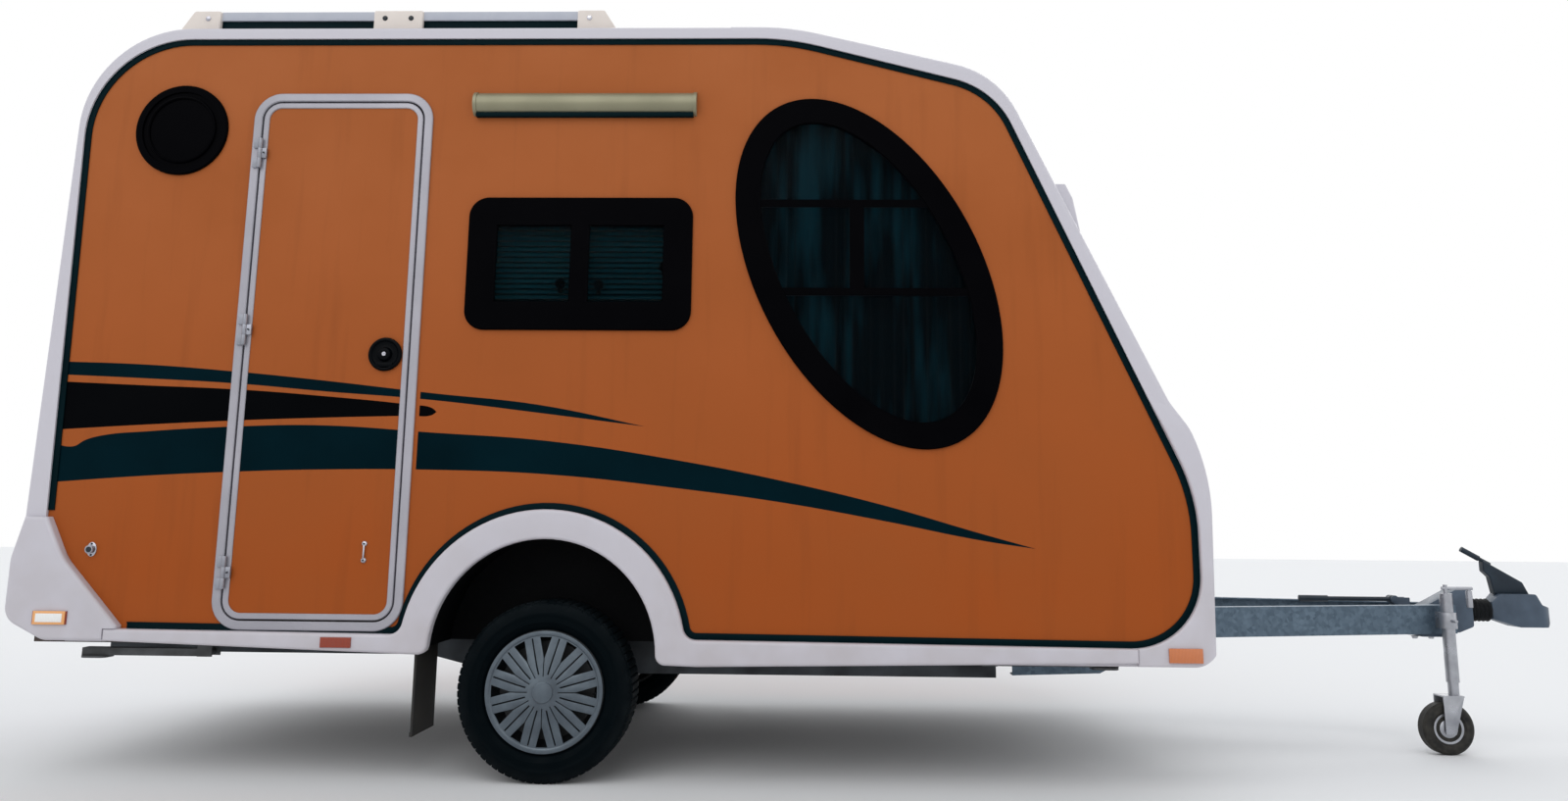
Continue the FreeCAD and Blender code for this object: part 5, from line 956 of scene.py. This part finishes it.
# Corner steadies: folded steel legs with pressed feet, dipped in zinc and dulled by the road. They are hinged
# on brackets under the floor and wound up flat.
steady_zinc = wear("steady_zinc", (96, 99, 102), (70, 71, 72), 0.5, 0.1, 0.08, metallic=0.5)
painted(steady_zinc, "steady_brackets", "steady_leg_front_right", "steady_leg_front_left",
        "steady_leg_rear_right", "steady_leg_rear_left")

# Roof rails: a grey anodised bar each side on three beige cast feet, with a dark rubber strip under the bar.
# A pair of dark screws holds each middle foot, and one pale screw each end foot.
rail_box_low, rail_box_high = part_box("roof_rails")
rail_middle = (rail_box_low.x + rail_box_high.x) / 2
rail_half = (rail_box_high.x - rail_box_low.x) / 2
end_foot_reach = 0.151
middle_foot_half = 0.093
blur = 0.0002


def rail_finish():
    """Beige on the feet and grey on the bar between them, told apart by the distance from the middle foot."""
    finish = Finish("rail_finish", (196, 186, 178), 0.45, gloss=0.3)
    apart = finish.reckoned("ABSOLUTE", finish.reckoned("SUBTRACT", finish.along("X"), rail_middle))
    end_start = rail_half - end_foot_reach
    end_foot = finish.between(apart, 0, 1, end_start - blur, end_start + blur)
    middle_foot = finish.between(apart, 1, 0, middle_foot_half - blur, middle_foot_half + blur)
    worn = finish.cloud(0.05, 6.0)
    beige = finish.blended(worn, (240, 230, 222), (226, 216, 208))
    grey = finish.blended(worn, (196, 199, 208), (180, 184, 196))
    finish.feed("Base Color", finish.blended(finish.reckoned("MAXIMUM", end_foot, middle_foot), grey, beige))
    finish.relief(finish.cloud(0.003), 0.0003)
    return finish.material


joined_copy("roof_rails", "roof_rail_profile", rail_finish(), 0.002, 60)
strip_height = rail_box_high.z - 0.034
strip_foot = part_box("roof_panel")[1].z - 0.001
strip_half = 0.008
strip_runs = ((-rail_half + 0.148, -0.09), (0.09, rail_half - 0.148))
dark_screws = (-0.049, 0.049)
pale_screws = (-rail_half + 0.105, rail_half - 0.105)
rail_screw = [(-0.002, 0.010), (0.002, 0.0095), (0.0038, 0.006), (0.0042, 0.0), (-0.002, 0.0)]
for side, side_name in both_sides:
    bar_y = side * (rail_box_high.y - 0.028)
    strips = [beam((rail_middle + low, bar_y - strip_half, strip_foot),
                   (rail_middle + high, bar_y + strip_half, strip_height)) for low, high in strip_runs]
    fitted(strips, "rail_rubber_" + side_name, seal_rubber, 0.001)
    for name, slot, finish, runs in (("rail_screws_", "lock_black", screw_dark, dark_screws),
                                     ("rail_end_screws_", "door_metal", chrome, pale_screws)):
        screws = [turned(rail_screw, (rail_middle + run, side * rail_box_high.y, rail_box_high.z - 0.031),
                         (0, side, 0)) for run in runs]
        fitted(screws, name + side_name, finish)

# Awning lamp: a long aluminium extrusion, anodised in champagne, with a cap at each end. A dark strip pressed
# in along its foot stands for its lens and for painted shade under the lamp.
lamp_champagne = wear("lamp_champagne", (150, 146, 122), (130, 127, 104), 0.36, 0.06, 0.3, 0.002, 0.0001,
                      metallic=0.3, gloss=0.3)
joined_copy("awning_lamp", "awning_lamp_housing", lamp_champagne)
lamp_low, lamp_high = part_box("awning_lamp")
lamp_end = 0.011
# Dark strip along the foot: the lamp's lens, and painted shade under the lamp.
lens = beam((lamp_low.x + lamp_end, lamp_high.y - 0.022, lamp_low.z - 0.007),
            (lamp_high.x - lamp_end, lamp_high.y, lamp_low.z + 0.010))
fitted([lens], "awning_lamp_strip", seal_rubber, 0.003)

# Tail lamps and markers: clear covers over coloured lenses with moulded ribs. The markers on the sills are a
# dark amber, the front ones a pale amber, and the rear corner ones have a white lens inside an amber rim.


def lens_of(name, colour, second, ribs, bands=()):
    """Glossy plastic with ribs of two colours, and other colours where bands of heights are given."""
    finish = Finish(name, colour, 0.16, coat=0.3)
    rib = finish.pattern("ShaderNodeTexWave", ribs)
    rib.bands_direction = "Y" if bands else "X"
    tone = finish.blended(finish.between(rib.outputs["Fac"], 0, 0.35, 0, 1), colour, second)
    for low, high, band in bands:
        over = finish.between(finish.along("Z"), 0, 1, low - 0.0005, low + 0.0005)
        under = finish.between(finish.along("Z"), 1, 0, high - 0.0005, high + 0.0005)
        tone = finish.blended(finish.reckoned("MULTIPLY", over, under), tone, band)
    finish.feed("Base Color", tone)
    finish.relief(rib.outputs["Fac"], 0.0006)
    return finish.material


tail_low, tail_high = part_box("tail_lamps")
tail_tall = tail_high.z - tail_low.z
clear_foot, amber_foot, amber_head = (tail_low.z + tail_tall * share for share in (0.27, 0.40, 0.62))
tail_lens = lens_of("tail_lens", (132, 8, 10), (96, 4, 6), 60.0,
                    ((amber_foot, amber_head, (196, 92, 8)), (clear_foot, amber_foot, (206, 206, 208))))
joined_copy("tail_lamps", "tail_lamp_lenses", tail_lens, 0.001, 50)
marker_low, marker_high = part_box("marker_lamps")
amber = lens_of("amber_lens", (150, 48, 6), (120, 32, 2), 70.0)
joined_copy("marker_lamps", "marker_lenses", amber)
front_amber = lens_of("front_amber_lens", (214, 126, 74), (170, 84, 40), 70.0)
rear_rim = lens_of("rear_rim_lens", (246, 178, 112), (236, 160, 92), 70.0)
clear_lens = lens_of("clear_lens", (250, 250, 248), (240, 240, 236), 60.0)
rear_lens_half = (0.046, 0.003, 0.0145)
rear_rim_half = (0.0555, 0.0022, 0.0225)
front_lens_half = (0.0555, 0.0022, 0.0235)
for side, side_name in both_sides:
    rear_spot = Vector((marker_low.x + 0.059, side * marker_high.y, marker_high.z - 0.022))
    front_spot = Vector((marker_high.x - 0.055, side * (marker_high.y - 0.011), nose_low.z + 0.038))
    for name, spot, half_size, plastic in (("rear_marker_lens_", rear_spot, rear_lens_half, clear_lens),
                                           ("rear_marker_rim_", rear_spot, rear_rim_half, rear_rim),
                                           ("front_marker_lens_", front_spot, front_lens_half, front_amber)):
        plate = beam(spot - Vector(half_size), spot + Vector(half_size))
        fitted([plate], name + side_name, plastic, 0.0012)
